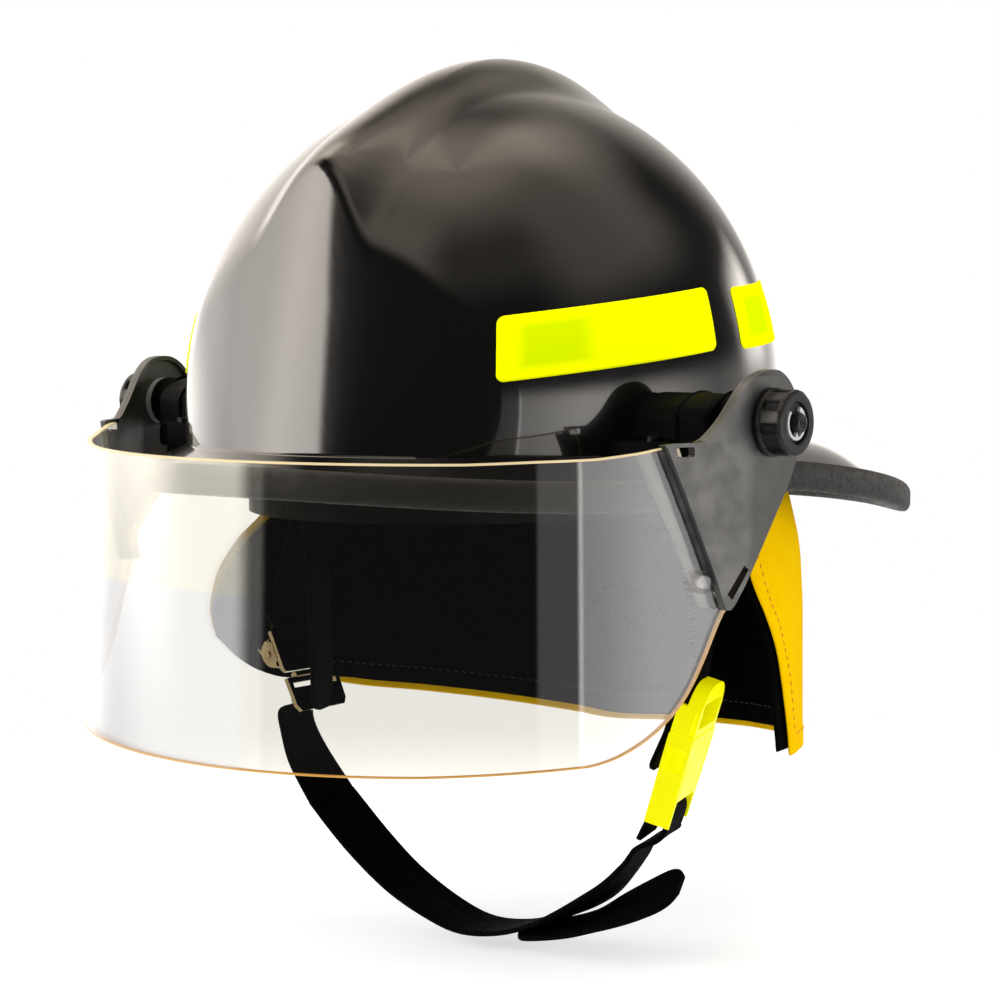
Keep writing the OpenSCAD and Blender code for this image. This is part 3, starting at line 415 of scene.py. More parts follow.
def ring_quads(rows, cols):
    """Quads of a grid that closes both along its rows and from its last row to its first."""
    return np.concatenate([sheet_quads(rows, cols, 0, True),
                           strip_quads((rows - 1) * cols + np.arange(cols), np.arange(cols), True)])


def rows_of(faces):
    """Face lists and whole arrays of faces, as one list of rows."""
    return [row for block in faces
            for row in (block.tolist() if isinstance(block, np.ndarray) and block.ndim == 2 else [list(block)])]


def mesh_of(name, points, faces, scale=1.0):
    mesh = bpy.data.meshes.new(name)
    mesh.from_pydata(np.asarray(points, float) * scale, [], rows_of(faces))
    return mesh


def face_out(mesh):
    """Turn the faces of a closed mesh outwards."""
    bm = bmesh.new()
    bm.from_mesh(mesh)
    bmesh.ops.recalc_face_normals(bm, faces=bm.faces)
    bm.to_mesh(mesh)
    bm.free()


def build(name, points, faces, finish, body, replaces=(), slot=None, uv=None, angle=35, marks=None):
    """A mesh object from points in mm and lists of faces. finish may be several; marks gives each face its own."""
    mesh = mesh_of(name, points, faces, MM)
    names = [finish] if isinstance(finish, str) else list(finish)
    for n in names:
        mesh.materials.append(finishes[n])
    if marks is not None:
        mesh.polygons.foreach_set("material_index", np.asarray(marks, np.int32))
    if uv is not None:
        corner = np.empty(len(mesh.loops), np.int32)
        mesh.loops.foreach_get("vertex_index", corner)
        layer = mesh.uv_layers.new(name="weave")
        layer.data.foreach_set("uv", np.ascontiguousarray(np.asarray(uv, float)[corner] * MM, np.float32).ravel())
    face_out(mesh)
    mesh.update()
    mesh.shade_smooth()
    obj = new_object(name, mesh)
    if angle:
        mesh.set_sharp_from_angle(angle=math.radians(angle))
    if body:
        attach(obj, body)
    if replaces:
        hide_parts(*([replaces] if isinstance(replaces, str) else replaces))
    return obj


def wall(outer, inner, wrap=False, poles=False):
    """Points and quads of the solid between two grids of the same columns; the rows may differ.
    The first rows meet at the top, the last rows at the bottom, and an open sheet is closed at its sides."""
    ro, co = outer.shape[:2]
    ri = inner.shape[0]
    points = np.concatenate([outer.reshape(-1, 3), inner.reshape(-1, 3)])
    base = ro * co
    faces = [sheet_quads(ro, co, 0, wrap), sheet_quads(ri, co, base, wrap, True),
             strip_quads((ro - 1) * co + np.arange(co), base + (ri - 1) * co + np.arange(co), wrap)]
    if not poles:
        faces.append(strip_quads(base + np.arange(co), np.arange(co), wrap))
    if not wrap:
        for c in (0, co - 1):
            faces.append(strip_quads(np.arange(ro) * co + c,
                                     base + np.linspace(0, ri - 1, ro).astype(int) * co + c))
    return points, [np.concatenate(faces)]


def finish_edges(obj, width=0.4, segments=3, angle=35):
    """Round the edges of a rigid piece with a live bevel, in mm."""
    bevel = obj.modifiers.new("rounded_edges", "BEVEL")
    bevel.width, bevel.segments = width * MM, segments
    bevel.limit_method, bevel.angle_limit = "ANGLE", math.radians(angle)
    bevel.harden_normals = False


def smooth_curve(points, steps):
    """Catmull-Rom: each span is the cubic through its two points whose slopes are half the span of their
    neighbours. Works on any number of columns."""
    p = np.asarray(points, float)
    a, b = np.concatenate([p[:1], p[:-2]]), p[:-1]
    c, d = p[1:], np.concatenate([p[2:], p[-1:]])
    t = (np.arange(steps) / steps)[None, :, None]
    a, b, c, d = (q[:, None, :] for q in (a, b, c, d))
    span = 0.5 * (2 * b + (c - a) * t + (2 * a - 5 * b + 4 * c - d) * t ** 2 + (3 * b - a - 3 * c + d) * t ** 3)
    return np.concatenate([span.reshape(-1, p.shape[1]), p[-1:]])


def unit(v):
    return v / np.maximum(np.linalg.norm(v, axis=-1, keepdims=True), 1e-9)


def heading(path):
    """The direction of a path at each of its points."""
    return unit(np.vstack([path[1:], path[-1:]]) - np.vstack([path[:1], path[:-1]]))


def run_along(path):
    """The distance along a path at each of its points."""
    return np.concatenate([[0], np.cumsum(np.linalg.norm(np.diff(path, axis=0), axis=1))])


def circle(x, y, radius, sides):
    a = np.linspace(0, math.tau, sides, endpoint=False)
    return np.column_stack([x + radius * np.cos(a), y + radius * np.sin(a)])


def smoothstep(v):
    t = np.clip(v, 0, 1)
    return t * t * (3 - 2 * t)


def plate(loops, low, high):
    """Points and faces of a flat plate: loops are its outline and its windows in (a, b), and it runs from low
    to high along the third direction. The points come as (third, a, b)."""
    flat = [np.asarray(l, float) for l in loops]
    sizes = [len(l) for l in flat]
    starts = np.cumsum([0] + sizes)[:-1]
    count = sum(sizes)
    ab = np.concatenate(flat)
    points = np.concatenate([np.column_stack([np.full(count, x), ab]) for x in (low, high)])
    caps = np.array(tessellate_polygon([[Vector((*p, 0)) for p in l] for l in flat]), int)
    sides = [strip_quads(s + np.arange(n), count + s + np.arange(n), True) for s, n in zip(starts, sizes)]
    return points, [*caps[:, ::-1].tolist(), *(caps + count).tolist(), *np.concatenate(sides).tolist()]


def merge(*parts):
    """Several (points, faces) as one."""
    points, faces, start = [], [], 0
    for p, f in parts:
        points.append(p)
        faces += [[start + i for i in row] for row in rows_of(f)]
        start += len(p)
    return np.concatenate(points), faces


def turned(profile, columns, wobble=None):
    """A turned ring: the closed profile of (radius, height) carried round the height axis.
    wobble(angle) is taken off the radius of points marked by the profile's third value."""
    p = np.asarray(profile, float)
    a = np.linspace(0, math.tau, columns, endpoint=False)
    r = p[:, 0][:, None] - p[:, 2][:, None] * (wobble(a) if wobble else 0 * a)[None, :]
    points = np.stack([r * np.cos(a), r * np.sin(a), np.broadcast_to(p[:, 1][:, None], r.shape)], -1)
    return points.reshape(-1, 3), [ring_quads(len(p), columns)]


# %% [markdown]
# Straps come next, because they hang from the helmet and set how far the picture reaches down. A strap is a
# flat band: each station of its path has a direction, a width direction and a rounded section. The width
# direction is given at each station, since a real strap is turned by what it is sewn or threaded to.

# %% Strap route frames
BUCKLE_LEAN, BUCKLE_TURN, BUCKLE_AT = math.radians(16.6), math.radians(19), np.array([93.4, 3, -79.4])
SLIDE_LEAN, SLIDE_AT = math.radians(-25.2), np.array([-95.4, 0, -63.4])
WEB_W, WEB_T = 25.0, 2.0


def turned_frame(lean, turn):
    """Columns are the local X, Y and Z after a lean about Y and a turn about Z."""
    c, s = math.cos(lean), math.sin(lean)
    k, n = math.cos(turn), math.sin(turn)
    return np.array([[k, -n, 0], [n, k, 0], [0, 0, 1]]) @ np.array([[c, 0, s], [0, 1, 0], [-s, 0, c]])


buckle_frame = turned_frame(BUCKLE_LEAN, BUCKLE_TURN)
slide_frame_axes = turned_frame(SLIDE_LEAN, 0)


def at_buckle(points): return points @ buckle_frame.T + BUCKLE_AT
def at_slide(points): return points @ slide_frame_axes.T + SLIDE_AT


def bk(x, z, share=1.0): return [*at_buckle(np.array([x, 0.0, z])), share, 19, 0]
def fr(x, z, share=1.0): return [*at_slide(np.array([x, 0.0, z])), share, 0, 0]
def flat(x, y, z, share=1.0, turn=0, dip=0): return [x, y, z, share, turn, dip]


def strap_section(width, thick, across=13):
    """Half the section's outline is a stadium: flat for most of the width, with round edges; x runs across."""
    e = thick / 2
    x = np.linspace(width / 2 - e, e - width / 2, across)
    arc = np.linspace(90, 270, 7)[1:-1]
    left = np.column_stack([e - width / 2 + e * np.cos(np.radians(arc)), e * np.sin(np.radians(arc))])
    top, low = np.column_stack([x, np.full(across, e)]), np.column_stack([x[::-1], np.full(across, -e)])
    return np.concatenate([top, left, low, -left])


def strap(name, stations, finish="webbing", width=WEB_W, thick=WEB_T, steps=9, crease=0.0, **where):
    """A band through stations (x, y, z, share of width, turn, dip): ring = c + x*s + y*u, where s is the width
    direction made square to the path and u = d x s. A crease is a soft step of crease mm along the strap's
    middle, at x = 1.5 + 2.5 * sin(run / 23), that fades out at both ends."""
    p = smooth_curve(stations, steps)
    c = p[:, :3]
    d = heading(c)
    turn, dip = np.radians(p[:, 4]), np.radians(p[:, 5])
    q = np.stack([-np.sin(turn), np.cos(turn) * np.cos(dip), np.sin(dip)], -1)
    s = unit(q - (q * d).sum(-1, keepdims=True) * d)
    u = np.cross(d, s)
    section = strap_section(width, thick)
    x = section[None, :, :1] * p[:, None, 3:4]
    run = run_along(c)
    middle = (1.5 + 2.5 * np.sin(run / 23.0))[:, None, None]
    part = (smoothstep((run - 60) / 30) * smoothstep((run[-1] - 4 - run) / 40))[:, None, None]
    curl = crease * part * (smoothstep((section[None, :, :1] - middle) / 3.0 + 0.5) - 0.5)
    rings = c[:, None] + x * s[:, None] + (section[None, :, 1:] + curl) * u[:, None]
    n, k = rings.shape[:2]
    faces = [*sheet_quads(n, k, 0, True).tolist(), list(range(k))[::-1], list(range((n - 1) * k, n * k))]
    uv = np.stack([np.broadcast_to(section[:, 0], (n, k)), np.broadcast_to(run[:, None], (n, k))], -1).reshape(-1, 2)
    obj = build(name, rings.reshape(-1, 3), faces, finish, uv=uv, slot="webbing", angle=50, **where)
    print(name, "length", round(run[-1]), "mm")
    return obj


# %% The six lengths of strap webbing
CHIN_DROP = 168
strap("near_strap_webbing", [
    flat(90.8, 5, 27), flat(90.8, 5, 8), flat(92.4, 5.6, -14, 1, 4), flat(95.4, 6, -38, 1, 14), bk(-3.9, 24),
    bk(-3.5, 17), bk(-2.9, 13), bk(-1.8, 10.2), bk(-2.6, 8.2), bk(-5, 6.5), bk(-6.8, 3.4), bk(-7, -2), bk(-8, -10),
    bk(-8.7, -15, 0.95), bk(-9, -18, 0.6)], body="helmet", replaces="near_strap")
chin_strap = strap("chin_strap_webbing", [
    bk(-5.4, -43.6, 0.98), bk(-4.2, -36.6), bk(-2.9, -30.8), bk(-0.3, -27.6), bk(2.7, -30), bk(3.2, -34.6),
    bk(2.2, -40.4), flat(75.2, 0, -123.8, 1, 16), flat(69.6, 0, -130.8, 1, 12), flat(62.5, 0, -138.6, 1, 6),
    flat(53.5, 0, -146.4, 1, 0, -2), flat(42, 0, -153.6), flat(29, 0, 8.4 - CHIN_DROP, 1, 0, 4),
    flat(13, 0, 3.4 - CHIN_DROP, 1, 0, 5), flat(-5, 0, 2 - CHIN_DROP, 1, 0, 6), flat(-22, 0, -161.6, 1, 0, 8),
    flat(-41.5, 0, -152.6, 1, 0, 12), flat(-60.5, 0, -139.4, 1, 0, 14), flat(-79.5, 0, -123, 1, 0, 12)],
    crease=1.3, body=None, replaces="chin_strap")
loop_end = strap("chin_strap_loop_end", [
    flat(-79.5, 0, -123, 1, 0, 12), flat(-91.6, 0, -108, 1, 4, 8), flat(-96.6, -1, -96, 1, 10, 4),
    flat(-97, -1, -88.6, 1, 6), fr(-4.4, -22.4), fr(-2.6, -19.2), fr(-0.2, -17.4), fr(2.4, -19.6),
    fr(2.9, -22, 0.92), fr(2.7, -25, 0.7), fr(2.4, -27, 0.5)], body=None)
chin_tail = strap("chin_strap_loose_end", [
    flat(19, 0, 3.0 - CHIN_DROP, 0.4, 0, 6), flat(23, 0, 3.8 - CHIN_DROP, 0.85, 0, 7),
    flat(30, 0, 5.0 - CHIN_DROP, 1, 0, 8), flat(46, 0, -158.6, 1, 0, 14), flat(60, 0, -152.2, 1, 0, 25),
    flat(72, 0, -146.6, 1, 0, 32), flat(82, 0, -141.6, 0.94, 6, 34), flat(87.6, 0, -138.8, 0.74, 10, 34),
    flat(90.4, 0, -137.4, 0.4, 12, 32)], body=None, replaces="chin_strap_tail")
strap("far_strap_webbing", [
    flat(-90.8, 5, 27), flat(-90.9, 4.6, 8), flat(-93, 3, -14), flat(-98, 1, -34), fr(2.6, 14), fr(2.2, 9),
    fr(1.3, 5.6), fr(-1.2, 2.7), fr(-2.3, 0), fr(-1.2, -2.7), fr(1.3, -5.6), fr(2.2, -8), fr(2.5, -9.6)],
    body="helmet", replaces="far_strap")
strap("far_strap_loose_end", [
    flat(-88.4, 3, 20), flat(-87.2, 1, 6, 1, 4), flat(-81, -7, -13, 1, 14), flat(-78, -9, -40, 1, 20),
    flat(-77, -9, -66, 1, 20), flat(-76.6, -9, -79, 0.97, 20), flat(-76.6, -9, -84, 0.75, 20),
    flat(-76.6, -9, -86, 0.4, 20)], width=WEB_W - 3, body="helmet", replaces="far_strap_tail")

# %% [markdown]
# The dome is an ellipsoid with two changes. A comb, a raised cosine across the crown whose height follows a
# line from brow to nape, is added to it, and a nearly flat front face cuts it with a soft minimum, which
# leaves the rounded creases at the sides of the face. One fault is left in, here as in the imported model:
# behind the dome and below its level line the comb's angle wraps round to -180 degrees, so the table gives
# its first height in place of its last, and a false step of 8.7 mm, 56 mm wide, runs down to the brim.

# %% Dome and brim formulas
HALF_W, HALF_L, RISE, LEVEL = 106.3, 125.3, 121.0, 40.0
COMB_RISE, WALL = 11.0, 3.0
BRIM_W, BRIM_FRONT, BRIM_REAR = 132.0, 148.0, 205.0
LEAN, FACE_SLOPE, FACE_CURL, FACE_BOW = 0.025, 0.26, 0.0005, 0.0043
APEX_RISE, APEX_FRONT = RISE - 29, HALF_L - 25.3
comb_angles = [0, 43, 50, 58, 66, 74, 84, 94, 105, 112, 119, 128, 142, 158, 170]
comb_heights = [0.8, 0.98, 0.7, 0.48, 0.47, 0.58, 0.76, 0.92, 0.98, 0.86, 0.6, 0.46, 0.28, 0.08, 0]
foot_angles, foot_widths = [0, 43, 60, 78, 96, 125, 180], [30, 29, 26, 29, 40, 36, 30]


def smooth_table(x, xs, ys, blur=3.0):
    """A table read with rounded corners: the mean of three readings blur apart."""
    return (np.interp(x - blur, xs, ys) + np.interp(x, xs, ys) + np.interp(x + blur, xs, ys)) / 3


def softmin(a, b, width):
    """The lesser of two surfaces, blended over width where they are nearly equal."""
    h = np.clip(0.5 + (b - a) / (2 * width), 0, 1)
    return b + (a - b) * h - width * h * (1 - h)


def comb(x, angle, share):
    """Height added at x by the crown's angle: 0 is straight ahead, 90 the apex and 180 straight behind."""
    q = np.clip(np.abs(x) / smooth_table(angle, foot_angles, foot_widths), 0, 1)
    return share * COMB_RISE * smooth_table(angle, comb_angles, comb_heights) * (1 + np.cos(np.pi * q)) / 2


def dome_point(plan, up, off=0.0, share=1.0):
    """Point at a plan angle (270 is the front) and a rise angle: direction times reach, where reach is
    softmin(ellipsoid + comb, front face)."""
    th, up = np.radians(plan), np.radians(up)
    d = unit(np.stack(np.broadcast_arrays(HALF_W * np.cos(up) * np.cos(th), HALF_L * np.cos(up) * np.sin(th),
                                          RISE * np.sin(up)), -1))
    x, y, z = d[..., 0], d[..., 1], d[..., 2]
    e = 1 / np.sqrt((x / (HALF_W - off)) ** 2 + (y / (HALF_L - off)) ** 2 + (z / (RISE - off)) ** 2)
    c = e + comb(e * x, np.degrees(np.arctan2(z, -y)), share)
    w = FACE_BOW + 0.0014 * np.clip((0.34 - z) / 0.48, 0, 1)
    a2 = -FACE_CURL * z * z - w * x * x
    b2 = y - FACE_SLOPE * z + 2 * FACE_CURL * APEX_RISE * z
    c2 = APEX_FRONT - off + FACE_SLOPE * APEX_RISE - FACE_CURL * APEX_RISE ** 2
    face = 2 * c2 / (np.sqrt(np.maximum(b2 * b2 - 4 * a2 * c2, 1e-6)) - b2)
    face = np.where(face <= 0, 1e6, face)
    p = d * softmin(c, face, 1.6)[..., None]
    p[..., 1] += LEAN * p[..., 2]
    p[..., 2] += LEVEL
    return p


def edge_xy(plan, off=0.0):
    """The brim's edge in plan: a superellipse, fuller at the rear corners."""
    th = np.radians(plan)
    c, s = np.cos(th), np.sin(th)
    n = np.where(s < 0, 2.3, 2.3 + 0.25 * np.abs(s))
    l = np.where(s < 0, BRIM_FRONT - off, BRIM_REAR - off)
    return np.stack([(BRIM_W - off) * np.sign(c) * np.abs(c) ** (2 / n), l * np.sign(s) * np.abs(s) ** (2 / n)], -1)


def edge_z(y):
    """Height of the brim's edge: a shallow dish in front, a fall to the bill's corners and a lift at its middle."""
    t = y - 8
    lift = 10.4 * (np.maximum(y + 65 - BRIM_REAR, 0) / 65) ** 1.8
    return softmin(LEVEL - 27.6 + 0.00066 * (y + 67) ** 2, LEVEL - 24 - 0.09 * t - 0.0003 * t * t, 3) + lift


def edge_out(plan):
    d = unit(edge_xy(plan + 0.5) - edge_xy(plan - 0.5))
    return np.stack([d[..., 1], -d[..., 0]], -1)


BASE_UP, TRIM_LIP, TRIM_H = -7.2, 8.0, 11.0
EDGE_IN, RIM_ZONE = 2.4, TRIM_LIP + 0.8


def brim_rows(plan, shares, under=0.0):
    """Rows from the dome's foot to the flat rim zone, and a last row at the edge."""
    a, g, o = dome_point(plan, BASE_UP, under), edge_xy(plan), edge_out(plan)
    f, e = g - RIM_ZONE * o, g - EDGE_IN * o
    z0, z1 = a[:, 2] - under * 0.4, edge_z(g[:, 1]) + WALL / 2 - under
    droop = 0.92 + 1.2 * smoothstep((np.sin(np.radians(plan)) - 0.08) / 0.4)
    rows = [np.column_stack([a[:, :2] + (f - a[:, :2]) * q, z0 + (z1 + 0.2 - z0) * q ** droop]) for q in shares]
    return np.stack(rows + [np.column_stack([e, z1])])


def closed_dome(top, under, skins, share=1.0):
    """The wall between two grids round the dome, closed over the apex by two fans; skins are their depths."""
    points, faces = wall(top, under, wrap=True, poles=True)
    tip, (rows, cols) = len(points), top.shape[:2]
    ring = np.arange(cols)
    after = (ring + 1) % cols
    fans = np.concatenate([np.stack([np.full(cols, tip), ring, after], -1),
                           np.stack([np.full(cols, tip + 1), rows * cols + after, rows * cols + ring], -1)])
    apexes = [dome_point(np.zeros(1), np.full(1, 90.0), skin, share) for skin in skins]
    return np.vstack([points, *apexes]), faces[0].tolist() + fans.tolist()


# %% The shell
front = np.arange(228, 312, 0.5)
rest = np.arange(312, 588, 2.0)
plan = np.concatenate([front, rest])
P, U = np.meshgrid(plan, np.arange(89.2, BASE_UP, -0.8))
shell_top = np.concatenate([dome_point(P, U), brim_rows(plan, np.linspace(0, 1, 17))])
P, U = np.meshgrid(plan, np.arange(88, BASE_UP, -3.0))
shell_under = np.concatenate([dome_point(P, U, WALL), brim_rows(plan, np.linspace(0, 1, 9), WALL)])
shell = build("shell_moulding", *closed_dome(shell_top, shell_under, (0.0, WALL)), "shell", "helmet", "outer_shell",
              angle=60)
print("shell faces", len(shell.data.polygons))

# %% [markdown]
# The edge trim is a rubber channel pushed over the brim. Its section is drawn once, with a round nose and
# two lips, and carried round the edge along the outward direction of the outline.

# %% Edge trim
def trim_section():
    """Lips at -TRIM_LIP, a nose rounded by a quarter ellipse on each side, and the groove for the brim."""
    g, h = WALL / 2 + 0.25, TRIM_H / 2
    a = np.radians(np.linspace(90, 0, 9))
    lip = np.array([[0, g + 0.1], [-0.1, g + 0.9], [0.5, g + 1.7], [2, h - 0.45], [4, h - 0.08]]) - [TRIM_LIP, 0]
    nose = np.column_stack([-2.6 + 2.6 * np.cos(a), 1.8 + (h - 1.8) * np.sin(a)])
    upper = np.vstack([lip, nose])
    return np.vstack([upper, upper[::-1] * [1, -1], [[-2.05, -g], [-2.05, g]]])


trim_plan = np.arange(0, 360, 1.5)
section = trim_section()
e, o = edge_xy(trim_plan), edge_out(trim_plan)
reach, height = section[:, 0][None, :, None], section[:, 1][None, :]
rings = np.concatenate([e[:, None] + reach * o[:, None], (edge_z(e[:, 1])[:, None] + height)[..., None]], -1)
trim = build("edge_trim_rubber", rings.reshape(-1, 3), [ring_quads(*rings.shape[:2])], "trim", "helmet", "edge_trim",
             angle=50)
print("trim faces", len(trim.data.polygons))

# %% [markdown]
# The strips on the sides are reflective sheet under a clear skin, with an embossed border. Each is a grid on
# the dome: its height above the shell is a low plateau that rises again along the border and falls at the rim.

# %% Reflective strips
STRIP_HALF = 11.75


def rise_of(z): return math.degrees(math.asin((z - LEVEL) / RISE))


def strip_on_dome(name, node, plan0, plan1, low, high, side):
    """Plan angle runs from plan0 to plan1; the rise runs between two straight lines; the ends have round corners."""
    s = np.linspace(0, 1, 150)
    s = 0.5 - 0.5 * np.cos(np.pi * s)
    along = 0.4 * smoothstep(s) + 0.6 * s
    th = plan0 + (plan1 - plan0) * along
    lo, hi = low[0] + (low[1] - low[0]) * along, high[0] + (high[1] - high[0]) * along
    base = dome_point(th, (lo + hi) / 2)
    run = run_along(base)
    edge = np.minimum(run, run[-1] - run)
    q = np.clip(1 - edge / 3.0, 0, 1)
    half = (2 * STRIP_HALF - 6 * (1 - np.sqrt(1 - 0.98 * q * q))) / (2 * STRIP_HALF)
    v = np.sin(np.linspace(-np.pi / 2, np.pi / 2, 29))
    V, C = v[:, None] * half[None], (hi + lo)[None] / 2
    rise = C + V * (hi - lo)[None] / 2
    from_side = (half[None] - np.abs(V)) * STRIP_HALF
    from_rim = np.minimum(from_side, edge[None] + 0 * V)
    height = 0.42 * smoothstep(from_rim / 0.5) - 0.16 * smoothstep((from_rim - 1.5) / 0.7) + 0.1
    T = np.broadcast_to(th, rise.shape)
    points, faces = wall(dome_point(T, rise, -height), dome_point(T, rise, 0.15))
    uv = np.stack([V * STRIP_HALF, np.broadcast_to(run, V.shape)], -1).reshape(-1, 2)
    return build(name, points * [side, 1, 1], faces, "reflective", "helmet", node, uv=np.vstack([uv, uv]), angle=50)


front_low, front_high = (rise_of(50.7), rise_of(60.8)), (rise_of(73.4), rise_of(83.6))
rear_low, rear_high = (rise_of(60.6), rise_of(64)), (rise_of(83.3), rise_of(87))
for side, word in SIDES:
    strip_on_dome(f"strip_{word}_front", f"decal_{word}_front", -46.6, -0.3, front_low, front_high, side)
    strip_on_dome(f"strip_{word}_rear", f"decal_{word}_rear", 8.6, 46, rear_low, rear_high, side)

# %% Impact foam
P, U = np.meshgrid(np.arange(0, 360, 3.0), np.arange(88, -3, -3.0))
foam_skins = WALL + 1, WALL + 15
foam = closed_dome(*(dome_point(P, U, skin, 0) for skin in foam_skins), foam_skins, 0)
build("impact_foam", *foam, "foam", "helmet", "impact_liner", angle=50)

# %% [markdown]
# The face shield is a sheet bent to a cone that opens 3 mm in its height. Its outline is given on the sheet:
# a top curve and a bottom curve whose ends are joined by the slanted sides, and each point is a mix of the two.

# %% Shield sheet
LENS_IN, LENS_T, LENS_Y, CONE = 145.0, 2.0, -8.0, 3 / 109
lens_top_line = np.array([[-170, 24.8], [-125, 25.2], [-110, 26], [-94, 26.5], [-80, 28.3], [-73.8, 29.6], [-68, 30]])
lens_low_line = np.array([[-170, -81.5], [-135, -80], [-115, -78.4], [-96.5, -76.9], [-89, -74.2], [-81, -69.4],
                          [-74, -63.7], [-67, -56], [-60, -43.6], [-54.8, -32.2], [-51.6, -26.5], [-50.2, -24]])


def cone_radius(z, skin=0.0): return LENS_IN + skin + CONE * (27 - z)


def on_cone(angle, z, skin=0.0):
    """Point at an angle from the front, radians, on the cone skin mm outside its inner face."""
    r = cone_radius(z, skin)
    return np.stack([r * np.sin(angle), LENS_Y - r * np.cos(angle), z], -1)


def outline_height(angle, line, guess):
    y = LENS_Y - cone_radius(guess) * np.cos(angle)
    z = np.interp(y, line[:, 0], line[:, 1])
    kernel = np.hanning(9) / np.hanning(9).sum()
    return np.convolve(np.pad(z, 4, mode="edge"), kernel, "valid")


u = np.linspace(-1, 1, 241)
top_angle, low_angle = u * math.acos(60 / 145), u * math.acos(42.2 / 146.4)
top_z, low_z = outline_height(top_angle, lens_top_line, 27), outline_height(low_angle, lens_low_line, -60)
v = np.r_[0, 0.007, np.linspace(0.04, 0.96, 23), 0.995, 1][:, None]
angle = top_angle + (low_angle - top_angle) * v
height = top_z + (low_z - top_z) * v
points, faces = wall(on_cone(angle, height, LENS_T), on_cone(angle, height, 0.0))
across = len(u) - 1
n_face = (len(v) - 1) * across
marks = np.ones(len(faces[0]), int)
for start in (0, n_face):
    marks[start + across:start + n_face - across] = 0
lens = build("shield_sheet", points, faces, ["lens", "lens_edge"], "face_shield", "visor_lens", slot="lens",
             marks=marks, angle=40)
print("shield", [round(x, 3) for x in lens.dimensions])

# %% [markdown]
# The arms are moulded plates that join the shield to its pivots. Each starts as one outline with two windows,
# is cut into narrow strips so that it can bend, and is then laid on the cone in front and kept flat behind.
# Bends are made after cutting because a flat face with no vertices inside it can't follow a curve.

# %% Cutting and bending
def carved(solid, *cutters):
    """Points and faces of a solid less the cutters, worked out with an exact boolean and applied."""
    made = []
    for points, faces in (solid, *cutters):
        mesh = mesh_of("cut", points, faces)
        face_out(mesh)
        made.append(new_object("cut", mesh))
    for cutter in made[1:]:
        cut = made[0].modifiers.new("cut", "BOOLEAN")
        cut.object, cut.operation, cut.solver = cutter, "DIFFERENCE", "EXACT"
    shape = made[0].evaluated_get(bpy.context.evaluated_depsgraph_get()).to_mesh()
    points = np.empty(len(shape.vertices) * 3)
    shape.vertices.foreach_get("co", points)
    faces = [list(p.vertices) for p in shape.polygons]
    made[0].evaluated_get(bpy.context.evaluated_depsgraph_get()).to_mesh_clear()
    for obj in made:
        mesh = obj.data
        bpy.data.objects.remove(obj)
        bpy.data.meshes.remove(mesh)
    return points.reshape(-1, 3), faces


def sliced(solid, axis, places):
    """The same solid with its faces cut through at each place along an axis."""
    mesh = mesh_of("sliced", *solid)
    bm = bmesh.new()
    bm.from_mesh(mesh)
    normal = np.eye(3)[axis]
    for place in places:
        bmesh.ops.bisect_plane(bm, geom=bm.verts[:] + bm.edges[:] + bm.faces[:], plane_co=normal * place,
                               plane_no=normal, dist=0.001)
    points = np.array([v.co[:] for v in bm.verts])
    bm.verts.index_update()
    faces = [[v.index for v in f.verts] for f in bm.faces]
    bm.free()
    bpy.data.meshes.remove(mesh)
    return points, faces


def round_bar(centre, radius, low, high):
    """A cylinder along X at centre (y, z)."""
    return plate([circle(*centre, radius, 48)], low, high)


# %% Shield arms
HINGE = np.array([-30.0, 37.0])
ARM_IN, ARM_T = 144.0, 2.5
arm_line = HINGE + np.array([
    [-46, -6.4], [-42, -5.9], [-33, -5.8], [-30, -4.4], [-25, 0], [-21, 4.4], [-16, 10.6], [-11, 15], [-5, 17.5],
    [1, 18.2], [6, 17.5], [11, 14.9], [15, 10.8], [17.6, 5.6], [18.4, 0], [18, -7], [16, -15.5], [10, -24.5]])
arm_tip = HINGE + np.array([[-14, -53], [-20.4, -61.8], [-22.2, -63.4], [-23.9, -63.4], [-25, -61.4], [-27, -55],
                            [-45, -7.5]])
arm_outline = np.vstack([smooth_curve(arm_line, 5), arm_tip])
slot_high = HINGE + np.array([[-42, -10.2], [-41.6, -10.6], [-36, -10.6], [-35.5, -10], [-35.5, -7.8], [-36, -7.2],
                              [-41.6, -7.2], [-42, -7.6]])
slot_low = HINGE + np.array([[-23.6, -58], [-21.6, -60], [-14, -50], [-16, -48.4]])


def arm_inner(points):
    """Inner face of the arm: softmin(cone, 144)."""
    y, z = points[:, 1], points[:, 2]
    r = cone_radius(z, LENS_T + 0.3)
    return softmin(np.sqrt(np.maximum(r ** 2 - (y - LENS_Y) ** 2, 1)), ARM_IN, 0.5)


def on_arm(solid, skin=0.0):
    """Bend a plate whose X counts from 0 at the arm's inner face."""
    points, faces = sliced(solid, 1, np.arange(-78, -38, 2.0))
    points[:, 0] += arm_inner(points) + skin
    return points, faces


def offset_line(line, by):
    """An open line moved sideways by a distance, along its left normal."""
    d = heading(line)
    return line + by * np.column_stack([-d[:, 1], d[:, 0]])


